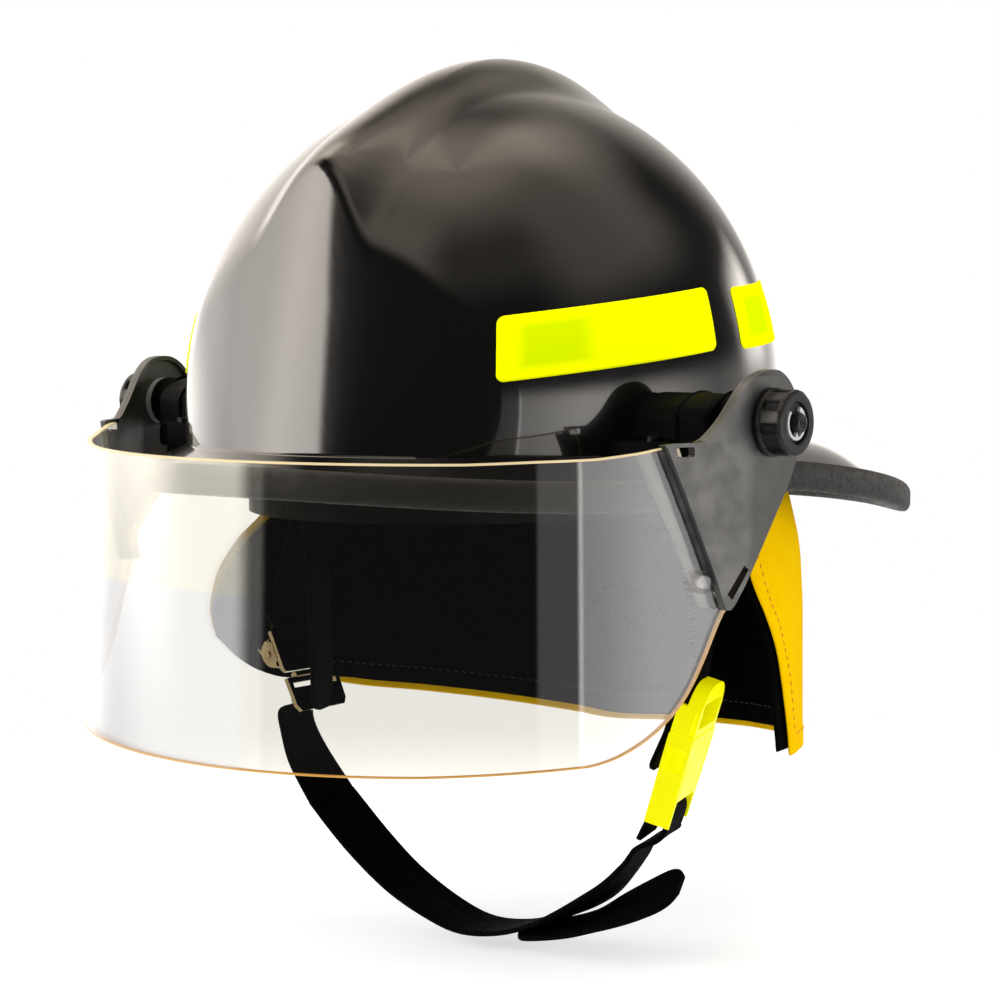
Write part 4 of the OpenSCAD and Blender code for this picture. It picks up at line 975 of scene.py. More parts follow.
arm_plate = on_arm(carved(plate([arm_outline], 0, ARM_T), plate([slot_high], -3, 6), plate([slot_low], -3, 6),
                          round_bar(HINGE, 4.05, -3, 6)))
rim = smooth_curve(arm_line[2:14], 5)
arm_rim = on_arm(plate([np.vstack([rim, offset_line(rim, -1.7)[::-1]])], -1.05, 0.4))
seam = HINGE + np.array([[-44.9, -8.2], [-27.1, -54.6]])
groove = np.vstack([seam, (seam + [-1.75, -0.5])[::-1]])
arm_gasket = on_arm(sliced(plate([groove], 0, 1.1), 2, np.arange(-15, 30, 5.0)), -0.25)
for side, word in SIDES:
    points, faces = merge(arm_plate, arm_rim)
    arm = build(f"shield_arm_{word}", points * [side, 1, 1], faces, "arm", "face_shield", f"visor_arm_{word}", angle=30)
    finish_edges(arm, 0.35, 2)
    build(f"shield_gasket_{word}", arm_gasket[0] * [side, 1, 1], arm_gasket[1], "gasket", "face_shield", slot="arm")
    print(arm.name, len(arm.data.polygons), "faces")

# %% [markdown]
# Inside the shield a grey strip clamps its edge to each arm, and a clear button holds the strip's foot. The
# strip follows the inner face of the cone; the button is a shallow dome turned round its own axis.

# %% Clamp strips and buttons
clamp_line = HINGE + np.array([[-49.2, -9.0], [-41.3, -9.5], [-40.9, -10.2], [-18.8, -61.6], [-19.0, -62.5],
                               [-27.6, -62.5], [-28.3, -61.8], [-49.6, -9.8]])
strip_points, strip_faces = sliced(sliced(plate([clamp_line], 0, 2.0), 1, np.arange(-78, -48, 2.0)), 2,
                                   np.arange(-20, 28, 6.0))
reach = cone_radius(strip_points[:, 2], -2.4 + strip_points[:, 0])
strip_points[:, 0] = np.sqrt(reach ** 2 - (strip_points[:, 1] - LENS_Y) ** 2)
button_at = np.array([138.4, -61.5, -16.3])
button_out = unit(np.array([138.4, -61.5 - LENS_Y, 0.0]))
button_side = np.array([-button_out[1], button_out[0], 0.0])
dome_line = [(0.02, 0.1), (3.6, 0.1), (4.0, 0.3), (4.05, 0.7), (3.9, 1.1), (3.3, 1.5), (2.2, 1.68), (1.0, 1.72),
             (0.02, 1.73)]
disc, disc_faces = turned([(r, h, 0) for r, h in dome_line], 48)
button = button_at + disc[:, :1] * button_side + disc[:, 1:2] * np.array([0, 0, 1.0]) + disc[:, 2:] * button_out
for side, word in SIDES:
    finish_edges(build(f"shield_clamp_{word}", strip_points * [side, 1, 1], strip_faces, "clamp", "face_shield",
                       f"visor_clamp_{word}"), 0.3, 2)
buttons = merge((button, disc_faces), (button * [-1, 1, 1], disc_faces))
build("shield_buttons", *buttons, "button", "face_shield", "lens_buttons", slot="lens")

# %% [markdown]
# The pivot knobs are turned parts with eight finger hollows. A turned part is one closed profile carried
# round an axis; the hollows take a rounded bite out of the radius wherever the profile marks the grip.

# %% Pivot knobs and rings
KNOB_IN, KNOB_OUT = 146.7, 157.2


def on_hinge(points, x):
    """Turn (a, b, height) into a place round the hinge axis, height outwards from x."""
    return np.column_stack([x + points[:, 2], HINGE[0] + points[:, 0], HINGE[1] + points[:, 1]])


def grip(a):
    """Depth of the finger hollows: 1.7 mm, eight to a turn, flat lands between them."""
    return 1.7 * smoothstep((np.cos(8 * (a - math.radians(10))) + 0.1) / 0.95)


knob_line = [(4.05, 0, 0), (11.3, 0, 0), (11.85, 0.25, 0), (12, 0.7, 0), (12, 1.5, 0), (11.85, 1.9, 0),
             (11.6, 2.1, 0.15), (11.5, 2.4, 0.9), (11.5, 3, 1), (11.5, 5, 1), (11.5, 7.6, 1), (11.5, 7.9, 0.9),
             (11.6, 8.3, 0.28), (11.55, 9.2, 0.12), (11.3, 9.95, 0.08), (10.8, 10.35, 0.03), (10.1, 10.5, 0),
             (8.1, 10.5, 0), (7.6, 10.4, 0), (7.35, 10.1, 0), (7.3, 9.0, 0), (7.2, 8.75, 0), (7.0, 8.7, 0),
             (4.05, 8.7, 0)]
knob, knob_faces = turned(knob_line, 192, grip)
a = np.radians(np.linspace(134, 427, 90))
wide = 5.0 - 1.75 * smoothstep(1.6 - np.abs(np.degrees(a) - 271) / 7) - 0.6 * smoothstep((np.degrees(a) - 402) / 8)
ring_line = np.vstack([np.column_stack([5.95 * np.cos(a), 5.95 * np.sin(a)]),
                       np.column_stack([wide * np.cos(a), wide * np.sin(a)])[::-1]])
ring_points, ring_faces = plate([ring_line], 0.15, 1.35)
ring = ring_points + [KNOB_OUT - 1.8, *HINGE]
for side, word in SIDES:
    build(f"pivot_knob_{word}", on_hinge(knob, KNOB_IN) * [side, 1, 1], knob_faces, "knob", f"knob_{word}",
          f"visor_knob_{word}", slot="arm", angle=32)
    clip = build(f"pivot_clip_{word}", ring * [side, 1, 1], ring_faces, "white", "helmet", f"stud_ring_{word}",
                 angle=40)
    finish_edges(clip, 0.2, 2, 60)
stud_line = [(0.02, -0.55, 0), (0.45, -0.5, 0), (0.6, -0.05, 0), (1.15, 0, 0), (1.3, -0.3, 0), (1.75, -0.3, 0),
             (1.9, 0, 0), (2.7, 0, 0), (3.05, -0.12, 0), (3.2, -0.45, 0), (3.2, -3.6, 0), (3.3, -3.72, 0),
             (3.9, -3.8, 0), (4, -4.1, 0), (4, -41.1, 0), (0.02, -41.1, 0)]
stud, stud_faces = turned(stud_line, 64)
for side, word in SIDES:
    build(f"pivot_stud_end_{word}", on_hinge(stud, KNOB_OUT + 1.9) * [side, 1, 1], stud_faces, "knob", "helmet",
          f"pivot_stud_{word}", slot="steel")

# %% [markdown]
# The pivot brackets stand on the brim and lean against the dome: a drum that carries the hinge, with a foot
# screwed to the brim. Each is a loft: outlines that share their point numbers are stacked along the hinge
# axis, and the skin between them gives the rounded steps. The lowest points rest on the brim.

# %% Pivot brackets
def half_outline(bottom, corner, shoulder, half, top=9.5):
    """Right half of an outline round the hinge: bottom, side, shoulder, wall and a top that bows by 6 mm."""
    low = np.linspace([0, -bottom], [corner - 1.5, -bottom], 7)
    side = smooth_curve([[corner - 1.5, -bottom], [corner - 0.2, -bottom + 0.6], [corner, -bottom + 2.5],
                         [corner, shoulder - 1.6], [corner - 0.5, shoulder - 0.4], [corner - 1.8, shoulder]], 3)[1:]
    over = np.linspace(side[-1], [half + 0.6, shoulder + 0.4], 4)[1:]
    wall_line = np.linspace([half, shoulder + 1.6], [half, top - 8.6], 6)
    across = np.concatenate([[half - 0.25, half - 1.0], np.linspace(half - 2.2, 0, 18)])
    sink = np.concatenate([[1.1, 0.35], np.zeros(18)])
    crown = np.column_stack([across, top - 24 + np.sqrt(24 ** 2 - across ** 2) - sink])
    return np.vstack([low, side, over, wall_line, crown])


def full_outline(*sizes):
    right = half_outline(*sizes)
    return np.vstack([right, (right * [-1, 1])[1:-1][::-1]])


def drum(radius):
    outline = full_outline(17, 16.2, -9, 16)
    return radius * outline / np.linalg.norm(outline, axis=1)[:, None]


def dome_side(y, z):
    """How far the dome reaches sideways at a height: the ellipsoid solved for x."""
    s = (y - LEAN * (z - LEVEL)) / HALF_L
    return HALF_W * np.sqrt(np.maximum(1 - s ** 2 - ((z - LEVEL) / RISE) ** 2, 0.01))


def brim_top(x, y):
    """Height of the brim's upper face: its rows read along the line from the dome's foot to the rim."""
    th = np.linspace(310, 380, 141)
    a, g, o = dome_point(th, BASE_UP), edge_xy(th), edge_out(th)
    f = g - RIM_ZONE * o
    order = np.argsort(a[:, 1])
    ax, az = (np.interp(y, a[order, 1], a[order, k]) for k in (0, 2))
    fx, fz = np.interp(y, f[:, 1], f[:, 0]), edge_z(y) + WALL / 2
    q = np.clip((x - ax) / (fx - ax), 0, 1)
    return az + (fz + 0.2 - az) * q ** 0.92


levels = [("foot", 0.0, None), ("foot", 0.0, 111.0), ("foot", 0.0, 116.4), ("foot", 0.35, 117.2),
          ("foot", 1.2, 117.6), ("block", -0.9, 117.9), ("block", -0.3, 118.5), ("block", 0.0, 119.6),
          ("block", 0.0, 128.6), ("block", 0.4, 129.8), ("block", 1.3, 130.5), ("drum", 10.6, 130.5),
          ("drum", 9.8, 130.7), ("drum", 9.5, 131.4), ("drum", 9.5, 140.3), ("drum", 9.2, 140.9),
          ("drum", 8.6, 141.2), ("drum", 6.5, 141.2), ("drum", 4.1, 141.2), ("drum", 4.1, 119.0)]
shapes = {"foot": lambda size: full_outline(29 - size, 25 - size, -7 - size * 0.6, 16.0),
          "block": lambda size: full_outline(17 - size, 16.2 - size, -9, 16.0 - size, 9.5 - size), "drum": drum}
rings = []
for kind, size, x in levels:
    yz = HINGE + shapes[kind](size)
    xs = np.full(len(yz), x) if x else dome_side(yz[:, 0], yz[:, 1]) - 0.8
    z = np.maximum(yz[:, 1], brim_top(xs, yz[:, 0]) - 0.3)
    rings.append(np.column_stack([xs, yz[:, 0], z]))
rings = np.stack(rings)
for side, word in SIDES:
    bracket = build(f"hinge_bracket_{word}", rings.reshape(-1, 3) * [side, 1, 1], [ring_quads(*rings.shape[:2])],
                    "bracket", "helmet", f"pivot_bracket_{word}", angle=40)
print("bracket", [round(v, 3) for v in bracket.dimensions])

# %% [markdown]
# The buckle is moulded in bright acetal, which its finish gives a painted glow: a prong half with a window for
# the strap, and a socket half with a hollow, finger openings at its sides and a grooved face. Its flats are
# plates in the buckle's own frame, cut with real windows and rounded at every edge, because light catching those
# edges is what makes it look moulded.

# %% Buckle
BUCKLE_W, SLOT_W = WEB_W + 9, WEB_W + 1
half = BUCKLE_W / 2

def box_of(low, high):
    """A cutter with plain corners, from low to high (x, y, z)."""
    (x0, y0, z0), (x1, y1, z1) = low, high
    return plate([np.array([[y0, z0], [y1, z0], [y1, z1], [y0, z1]])], x0, x1)


def both_sides(right):
    """A closed outline from its right half, listed from bottom to top."""
    right = np.asarray(right, float)
    return np.vstack([right, (right * [-1, 1])[::-1]])


base_side = np.vstack([[[half, 0.2]], smooth_curve([[half, 2], [half - 0.4, 8], [half - 2.6, 14], [half - 6.2, 17.6],
                                                    [half - 11, 19.4], [0.5, 19.6]], 4)])
window = plate([[[-13, 3.2], [-12.6, 3], [12.6, 3], [13, 3.2], [13, 12.2], [12, 13], [-12, 13], [-13, 12.2]]], -8, 8)
prong_half = carved(plate([both_sides(base_side)], -4.5, 4.5), window, box_of((-9.2, -40, 11), (-1.2, 40, 25)),
                    box_of((2.9, -half - 1, 1.2), (9, -half + 1.0, 9.5)),
                    box_of((2.9, half - 1.0, 1.2), (9, half + 1, 9.5)))
finish_edges(build("buckle_prong_half", at_buckle(prong_half[0]), prong_half[1], "buckle", "helmet", "buckle_base"),
             0.55, 3, 30)

socket_side = np.vstack([smooth_curve([[2, -36], [half - 3.8, -35.8], [half - 2.3, -34.6], [half - 2, -30],
                                       [half - 1.4, -22], [half - 0.3, -12], [half, -4]], 4), [[half, -0.2]]])
OUT = half - 2.1
cuts = [box_of((-3.2, -OUT - 0.2, -17.6), (3.2, OUT + 0.2, 3)),
        box_of((-8, -SLOT_W / 2, -32.2), (8, SLOT_W / 2, -25.2))]
for s, (y0, y1), (x0, x1) in ((-1, (-half, 3 - half), (-9.6, -1.6)), (1, (half - 3, half + 3), (1.6, 9.6))):
    y = s * (half - 4.4)
    cuts += [box_of((-3.2, y0, -14), (3.2, y1, -5.2)),
             box_of((x0, -SLOT_W / 2, -37.6), (x1, SLOT_W / 2, -25.2)),
             plate([[[y - 0.7, -21.5], [y, -22.2], [y + 0.7, -21.5], [y + 0.7, -6.6], [y, -5.9], [y - 0.7, -6.6]]],
                   3.5, 9)]
socket_half = carved(plate([both_sides(socket_side)], -4.8, 4.8), *cuts)
finish_edges(build("buckle_socket_moulding", at_buckle(socket_half[0]), socket_half[1], "buckle", "buckle_socket_half",
                   "buckle_socket"), 0.45, 3, 30)

for s, word in ((-1, "front"), (1, "rear")):
    z = np.linspace(-6.6, -13.2, 34)
    teeth = OUT - 0.28 + 0.28 * np.cos((z + 6.6) * math.tau / 1.32)
    edge = np.vstack([[[OUT - 4.6, -0.1], [OUT - 0.8, -0.1], [OUT - 0.8, -4]], np.column_stack([teeth, z]),
                      [[OUT - 1.6, -15], [OUT - 4.2, -15.4], [OUT - 4.8, -12]]])
    points, faces = plate([edge * [s, 1]], -3, 3)
    finish_edges(build(f"buckle_{word}_prong", at_buckle(points), faces, "buckle", f"prong_{word}",
                       f"buckle_prong_{word}"), 0.25, 2, 40)
print("buckle halves", len(prong_half[1]), len(socket_half[1]), "faces")

# %% [markdown]
# The far side has a cam fastener of nickel-plated steel: a folded frame with two cheeks, a lever whose teeth
# bite the strap when it is pressed down, and a loop. Sheet metal is drawn as an outline of even thickness.

# %% Fastener
SLIDE_W = WEB_W + 6
hs = SLIDE_W / 2


def profile_plate(line, y0, y1):
    """A profile in (x, z) carried along the width from y0 to y1."""
    points, faces = plate([np.asarray(line, float)], y0, y1)
    return points[:, [1, 0, 2]], faces


def sheet_line(line, thick):
    """An outline of even thickness about an open line: the line moved half the thickness to each side."""
    line = smooth_curve(line, 5)
    return np.vstack([offset_line(line, thick / 2), offset_line(line, -thick / 2)[::-1]])


def round_rod(x, z, radius, y0, y1): return profile_plate(circle(x, z, radius, 32), y0, y1)


def corner(w, z0, z1, r): return np.array([[w - r, z0], [w, z0 + r], [w, z1 - r], [w - r, z1]])


def nickel(name, parts, body, node, edge):
    """A piece of the fastener: its parts as one, with edges rounded by edge mm."""
    points, faces = merge(*parts)
    finish_edges(build(name, at_slide(points), faces, "nickel", body, node), edge, 2, 40)
    print(name, len(faces), "faces")


frame_plate = carved(plate([both_sides(corner(hs, -9.5, 9.5, 1.2))], -0.9, 0.9), box_of((-3, -13, 1), (3, 13, 7.6)),
                     box_of((-3, -13, -7.6), (3, 13, -1)))
cheek_arc = np.radians(np.linspace(100, 260, 25))
cheek = np.vstack([[[-0.5, -4.2]], [[-0.5, 4.2]],
                   np.column_stack([-0.9 + 6.3 * np.cos(cheek_arc), 4.2 * np.sin(cheek_arc)])])
cheeks = [profile_plate(cheek, s * (hs - 0.7) - 0.7, s * (hs - 0.7) + 0.7) for s in (-1, 1)]
tail = profile_plate(sheet_line([[-0.9, -8.8], [-5, -7.3], [-9.3, -3.6], [-13, 1.2], [-15.9, 6.1]], 1.2), -8, 8)
nickel("fastener_frame_plate", [frame_plate, *cheeks, tail], "helmet", "slide_frame", 0.22)
nickel("fastener_pin", [round_rod(-5, 0, 1.0, -hs - 0.1, hs + 0.1), round_rod(-5, 0, 1.6, -hs - 0.5, -hs),
                        round_rod(-5, 0, 1.6, hs, hs + 0.5)], "helmet", "slide_pin", 0.2)
disc_arc = np.radians(np.linspace(90, 270, 25))
half_disc = np.vstack([[[-3.4, 6]], np.column_stack([-3.4 + 6 * np.cos(disc_arc), 6 * np.sin(disc_arc)])])
discs = [profile_plate(half_disc, s * (hs - 2.15) - 0.7, s * (hs - 2.15) + 0.7) for s in (-1, 1)]
blade = sheet_line([[-5.6, 1.2], [-4.4, 5.6], [-3.5, 10.4], [-3.7, 14.4], [-5.7, 18.4], [-9.1, 22.3]], 1.25)
teeth = [profile_plate([[-5, 4.6], [-4, 4.6], [-6.2, 8.8], [-6.5, 8.7]], k * 3.8 - 0.5, k * 3.8 + 0.5)
         for k in range(-2, 3)]
lever_parts = [round_rod(-5, 0, 1.5, -hs + 1.6, hs - 1.6), *discs, profile_plate(blade, -9, 9), *teeth]
nickel("fastener_lever_plate", lever_parts, "fastener_lever", "slide_lever", 0.2)
loop_plate = carved(plate([both_sides([[hs - 2.4, -26.6], [hs - 0.4, -24], [hs, -12.2]])], -0.9, 0.9),
                    box_of((-3, -13, -23.6), (3, 13, -14.6)))
nickel("fastener_loop_plate", [loop_plate, round_rod(0, -11.4, 1.5, -10, 10)], "fastener_loop", "slide_loop", 0.22)

# %% [markdown]
# Inside, the head is held by a nylon band, webbing and thin pads. A pad is two cloth faces over foam: its
# thickness rises quickly from the seam, dips at each stitched channel and is flat only where it is backed.

# %% Pads and crown webbing
def pad_surface(name, node, inner_at, width, height, cols, rows, thick, channels):
    """inner_at(s, t, depth) gives the place of a point; depth is thick * (0.12 + 0.88 * puff), with puff the
    product of two humps less a narrow dip at each channel, or 0 at the backing."""
    s, t = np.meshgrid(np.linspace(-1, 1, cols), np.linspace(-1, 1, rows))
    hump = (1 - np.abs(s) ** (width / 4)) ** 0.5 * (1 - np.abs(t) ** 6) ** 0.5
    dip = sum(np.exp(-(((s - c) * width / 2) / 1.6) ** 2) for c in channels) * 0.55
    puff = hump * (1 - np.clip(dip, 0, 0.7)) * (1 + 0.05 * np.sin(9 * s) * np.cos(5 * t))
    points, faces = wall(inner_at(s, t, thick * (0.12 + 0.88 * puff)), inner_at(s, t, 0 * puff))
    uv = np.stack([s * width / 2, t * height / 2], -1).reshape(-1, 2)
    pad = build(name, points, faces, "pad", "helmet", node, uv=np.vstack([uv, uv]), angle=60)


def brow_at(s, t, depth):
    a = np.radians(270 + 73 * s)
    w, l = 80.3 - depth, 100.3 - depth
    return np.stack([w * np.cos(a), l * np.sin(a), 10.5 + 9.4 * t], -1)


NAPE_R, NAPE_Y = 80.5 * 80.5 / 100.5, 100.5 - 80.5 * 80.5 / 100.5


def nape_at(s, t, depth):
    a = np.radians(90 - 25 * s)
    r = NAPE_R + 2.4 - depth
    low = -6 - 11 * smoothstep((1 - np.abs(s)) / 0.6)
    return np.stack([r * np.cos(a), NAPE_Y + r * np.sin(a), (3 + low) / 2 + t * (3 - low) / 2], -1)


def crown_at(s, t, depth):
    """A round pad: the square is mapped to the disc by s*sqrt(1 - t*t/2), t*sqrt(1 - s*s/2)."""
    x, y = 24.6 * s * np.sqrt(1 - t * t / 2), 24.6 * t * np.sqrt(1 - s * s / 2)
    r = 62 - depth
    return np.stack([x, y, 134 - 2.8 - 63.3 + np.sqrt(r ** 2 - x ** 2 - y ** 2)], -1)


pad_surface("brow_pad_cloth", "brow_pad", brow_at, 215, 18.8, 221, 25, 2.2, np.linspace(-0.8, 0.8, 9))
pad_surface("nape_pad_cloth", "nape_pad", nape_at, 60, 18, 81, 25, 2.0, (-0.45, 0, 0.45))
pad_surface("crown_pad_cloth", "crown_pad", crown_at, 50, 50, 81, 81, 3.0, (-0.5, 0, 0.5))


def crown_web(name, node, wide, rise, turn):
    q = np.radians(np.linspace(0, 180, 19))
    a, z = wide * np.cos(q), 36 + rise * np.sin(q)
    line = np.vstack([[[wide, 21.3]], [[wide, 29]], np.column_stack([a, z]), [[-wide, 29]], [[-wide, 21.3]]])
    stations = [[0, p, h, 1, turn, 0] if turn else [p, 0, h, 1, 0, 0] for p, h in line]
    strap(name, stations, "crown_webbing", 20, 1.4, 6, body="helmet", replaces=node)


crown_web("crown_webbing_long", "crown_strap_long", 97.9, 97.3, -90)
crown_web("crown_webbing_cross", "crown_strap_cross", 78.6, 94.9, 0)

# %% [markdown]
# The ear and neck cover is two sheets of cloth that hang from a strip under the brim and flare to a hem. Cloth
# hung from a fixed curve falls in folds that start at nothing and widen downwards, so each sheet is a grid
# whose distance from the head is a flared profile plus folds that grow with the square of the drop. The hem
# is doubled and stitched; the soft lining stands a little ahead of the outer cloth at the open sides.

# %% Cover formulas
COVER_TOP, COVER_DROP, CLOTH = 28.0, 103.0, 1.5
COVER_HALF_W, COVER_HALF_L, COVER_RUN = 115, 127, 430


def read_soft(x, xs, ys, blur):
    return sum(np.interp(x + k * blur, xs, ys) for k in (-1, -0.5, 0, 0.5, 1)) / 5


def cover_low(u):
    return -COVER_DROP + read_soft(u, [0, 0.15, 0.5, 0.8, 0.91, 0.975, 1], [10, 7, 0, 17, 28, 41, 50], 0.02)


def cover_near(v): return read_soft(v, [0, 0.17, 0.45, 0.59, 0.72, 1], [-5, -2.5, 2, 8, 12, 16.5], 0.05)


def cover_far(v):
    return read_soft(v, [0, 0.3, 0.44, 0.6, 0.74, 0.89, 1], [172, 178, 181.6, 188.8, 194.8, 197.8, 196.3], 0.04)


def cover_out(z): return read_soft(z, [-90, -40, -20, 4, 14, 22, 28], [-0.4, 0, -1, -5, -9, -13.6, -14.6], 3)


def drape(th, v, fine):
    """Folds in mm: v squared times slow waves, and fine ripples that only the cloth's own sheets get."""
    t = np.radians(th)
    slow = 1.3 * np.sin(3 * t + np.radians(40)) + 0.9 * np.sin(7 * t) + 0.5 * np.sin(13 * t + np.radians(60 * v))
    ripple = 0.55 * np.sin(19 * t + 2.2 * v + 0.6) + 0.3 * np.sin(31 * t - 3 * v)
    soft = v ** 1.5 * ripple + 0.22 * np.sin(47 * t + 9 * v) * np.sin(np.pi * v)
    return v * v * slow + fine * soft


def cover_sheet(u, v, off, ahead=0.0, shorter=0.0, fine=0.55):
    """th runs from the near side to the far side, z from the strip to the hem; off counts inwards. A sheet that
    stands ahead at the near side stays behind by up to 2 degrees at the far one, and gets longer at its corner."""
    lag = (0.3 * v - 0.75 * smoothstep(v / 0.12) * smoothstep((0.9 - v) / 0.2)) * ahead
    near = cover_near(v) - ahead * v * (1 + 0.5 * smoothstep((v - 0.5) / 0.25))
    th = near + (cover_far(v) + lag - near) * u
    z = COVER_TOP + (cover_low(u) + shorter * (1 - 1.9 * smoothstep((u - 0.8) / 0.1)) - COVER_TOP) * v
    c = 1 + 6 * np.clip((COVER_TOP - z) / 40, 0, 1)
    far = 10.5 * smoothstep((th - 160) / 28) * smoothstep(v / 0.7)
    g = drape(th, v, fine) - off
    t = np.radians(th)
    wide, long = COVER_HALF_W + cover_out(z) + far + g, COVER_HALF_L + 0.56 * cover_out(z) + g
    return np.stack([wide * np.cos(t), c + long * np.sin(t), z], -1)


HEM_LINE, SKINS = 8.2, 0.9


def cloth(name, node, finish, off, ahead, shorter, fine):
    """Two skins of one sheet, thicker along the turned hem and round at the edges. Returns the piece, its middle
    surface, each point's distance from the edge in mm, and its length, drop and area in metres."""
    cols, rows = ((361, 121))
    u = np.linspace(0, 1, cols)[None, :]
    v = (1 - (1 - np.linspace(0, 1, rows)) ** 1.25)[:, None]
    u, v = u + 0 * v, v + 0 * u
    mid = cover_sheet(u, v, off + CLOTH / 2, ahead, shorter, fine)
    drop = (1 - v) * (COVER_TOP - cover_low(u))
    side = np.minimum(u, 1 - u) * COVER_RUN
    edge = np.minimum(drop, side)
    fold_over = 0.5 * smoothstep((9.5 - edge) / 0.9) - 0.32 * np.exp(-((edge - HEM_LINE) / 0.55) ** 2)
    body = (SKINS / 2 + fold_over * 0.5) * np.sqrt(np.clip(edge / 0.9, 0.03, 1))
    outer = mid + (cover_sheet(u, v, off, ahead, shorter, fine) - mid) / (CLOTH / 2) * body[..., None]
    inner = 2 * mid - outer
    points, faces = wall(outer, inner)
    across = np.concatenate([np.zeros((rows, 1)), np.cumsum(np.linalg.norm(np.diff(mid, axis=1), axis=2), 1)], 1)
    along = np.concatenate([np.zeros((1, cols)), np.cumsum(np.linalg.norm(np.diff(mid, axis=0), axis=2), 0)], 0)
    uv = np.stack([across, along], -1).reshape(-1, 2)
    obj = build(name, points, faces, finish, "helmet", node, uv=np.vstack([uv, uv]), angle=70)
    area = float(np.linalg.norm(np.cross(np.diff(mid, axis=1)[:-1], np.diff(mid, axis=0)[:, :-1]), axis=2).sum())
    cut = across[:, -1].max() * MM, along[-1].max() * MM, area / 1e6
    print(name, "hem, drop and area", [round(v, 4) for v in cut])
    return obj, mid, edge, *cut


# %% The two sheets and their strip
tape_u, tape_v = np.meshgrid(np.linspace(0.005, 0.995, 240), np.linspace(0.01, 0.1, 9))
tape_out, tape_in = cover_sheet(tape_u, tape_v, 3.8, fine=0), cover_sheet(tape_u, tape_v, 5.0, fine=0)
tape_uv = np.stack([(tape_v - 0.055) * 131, tape_u * 420], -1).reshape(-1, 2)
points, faces = wall(tape_out, tape_in)
build("cover_hook_strip", points, faces, "webbing", "helmet", "cover_tape", uv=np.vstack([tape_uv, tape_uv]), angle=60)
outer_cloth, outer_mid, outer_edge, *outer_cut = cloth("cover_outer_cloth", "cover_outer", "cover_cloth",
                                                       0.0, 0.0, 0.0, 0.55)
liner_cloth, liner_mid, liner_edge, *liner_cut = cloth("cover_lining", "cover_liner", "liner_cloth",
                                                       CLOTH + 0.5, 3.0, 2.8, 0.75)

# %% [markdown]
# Stitches are what makes cloth look sewn. Each is a short thread that rises from the cloth and dips back,
# a bent tube of a few faces, and hundreds of them are worked out in one array along a line on the sheet.

# %% Stitches
PITCH, STITCH, THREAD_R, LIFT = 3.6, 2.4, 0.22, 0.12


def stitches(name, path, outwards, finish):
    """path and outwards are points and normals along the seam. Stitch i spans STITCH mm from i * PITCH; its five
    rings of six points rise from the cloth, dip back and taper at both ends."""
    path, outwards = np.asarray(path, float), unit(np.asarray(outwards, float))
    run = run_along(path)
    starts = np.arange(PITCH / 2, run[-1] - STITCH, PITCH)
    s = np.array([0, 0.12, 0.5, 0.88, 1.0])
    where = starts[:, None] + s * STITCH
    at = np.stack([np.interp(where, run, path[:, k]) for k in range(3)], -1)
    out = unit(np.stack([np.interp(where, run, outwards[:, k]) for k in range(3)], -1))
    d = unit(at[:, -1] - at[:, 0])[:, None]
    side = unit(np.cross(d, out))
    ring = np.radians(np.arange(0, 360, 60))[None, None, :, None]
    size = THREAD_R * np.array([0.25, 0.9, 1, 0.9, 0.25])[None, :, None, None]
    rise = (LIFT + THREAD_R) * np.array([-0.9, 0.5, 1, 0.5, -0.9])[None, :, None]
    centre = at + rise * out
    rings = centre[:, :, None] + size * (np.cos(ring) * side[:, :, None] + np.sin(ring) * out[:, :, None])
    count = len(starts)
    quads = (sheet_quads(5, 6, 0, True)[None] + (np.arange(count) * 30)[:, None, None]).reshape(-1, 4).tolist()
    first = [[i * 30 + k for k in (5, 4, 3, 2, 1, 0)] for i in range(count)]
    last = [[i * 30 + 24 + k for k in range(6)] for i in range(count)]
    obj = build(name, rings.reshape(-1, 3), quads + first + last, finish, "helmet", slot="webbing", angle=0)
    print(name, count, "stitches")
    return obj


def seam_on(mid, off, at):
    """A line on a sheet, off mm from its middle surface, with its outward normals. at picks a row or a column."""
    normal = unit(np.cross(np.gradient(mid, axis=1), np.gradient(mid, axis=0)))
    line, n = mid[at], normal[at]
    n = n * np.sign(((line - mid.mean(axis=(0, 1))) * n).sum(-1, keepdims=True).mean())
    return line + off * n, n
    return line + off * n, n


def row_at(edge, distance):
    """Number of the row whose distance from the hem at the middle of the sheet is nearest."""
    return int(np.argmin(np.abs(edge[:, edge.shape[1] // 2] - distance)))


OFF_CLOTH = 0.45
hem_row = row_at(outer_edge, HEM_LINE)
side_col = int(round(HEM_LINE / COVER_RUN * (outer_mid.shape[1] - 1)))
line, out = seam_on(outer_mid, OFF_CLOTH, hem_row)
hem_stitches = stitches("cover_hem_stitches", line[side_col:-side_col], out[side_col:-side_col], "thread")
line, out = seam_on(outer_mid, OFF_CLOTH, np.s_[:, side_col])
near_stitches = stitches("cover_side_stitches", line[12:hem_row], out[12:hem_row], "thread")
line, out = seam_on(liner_mid, -OFF_CLOTH, row_at(liner_edge, HEM_LINE))
liner_stitches = stitches("lining_hem_stitches", line[side_col:-side_col], -out[side_col:-side_col], "black_thread")

# %% [markdown]
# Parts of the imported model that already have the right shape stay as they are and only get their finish:
# the headband, its hangers, the nape ratchet, the screws, washers and strap anchors.

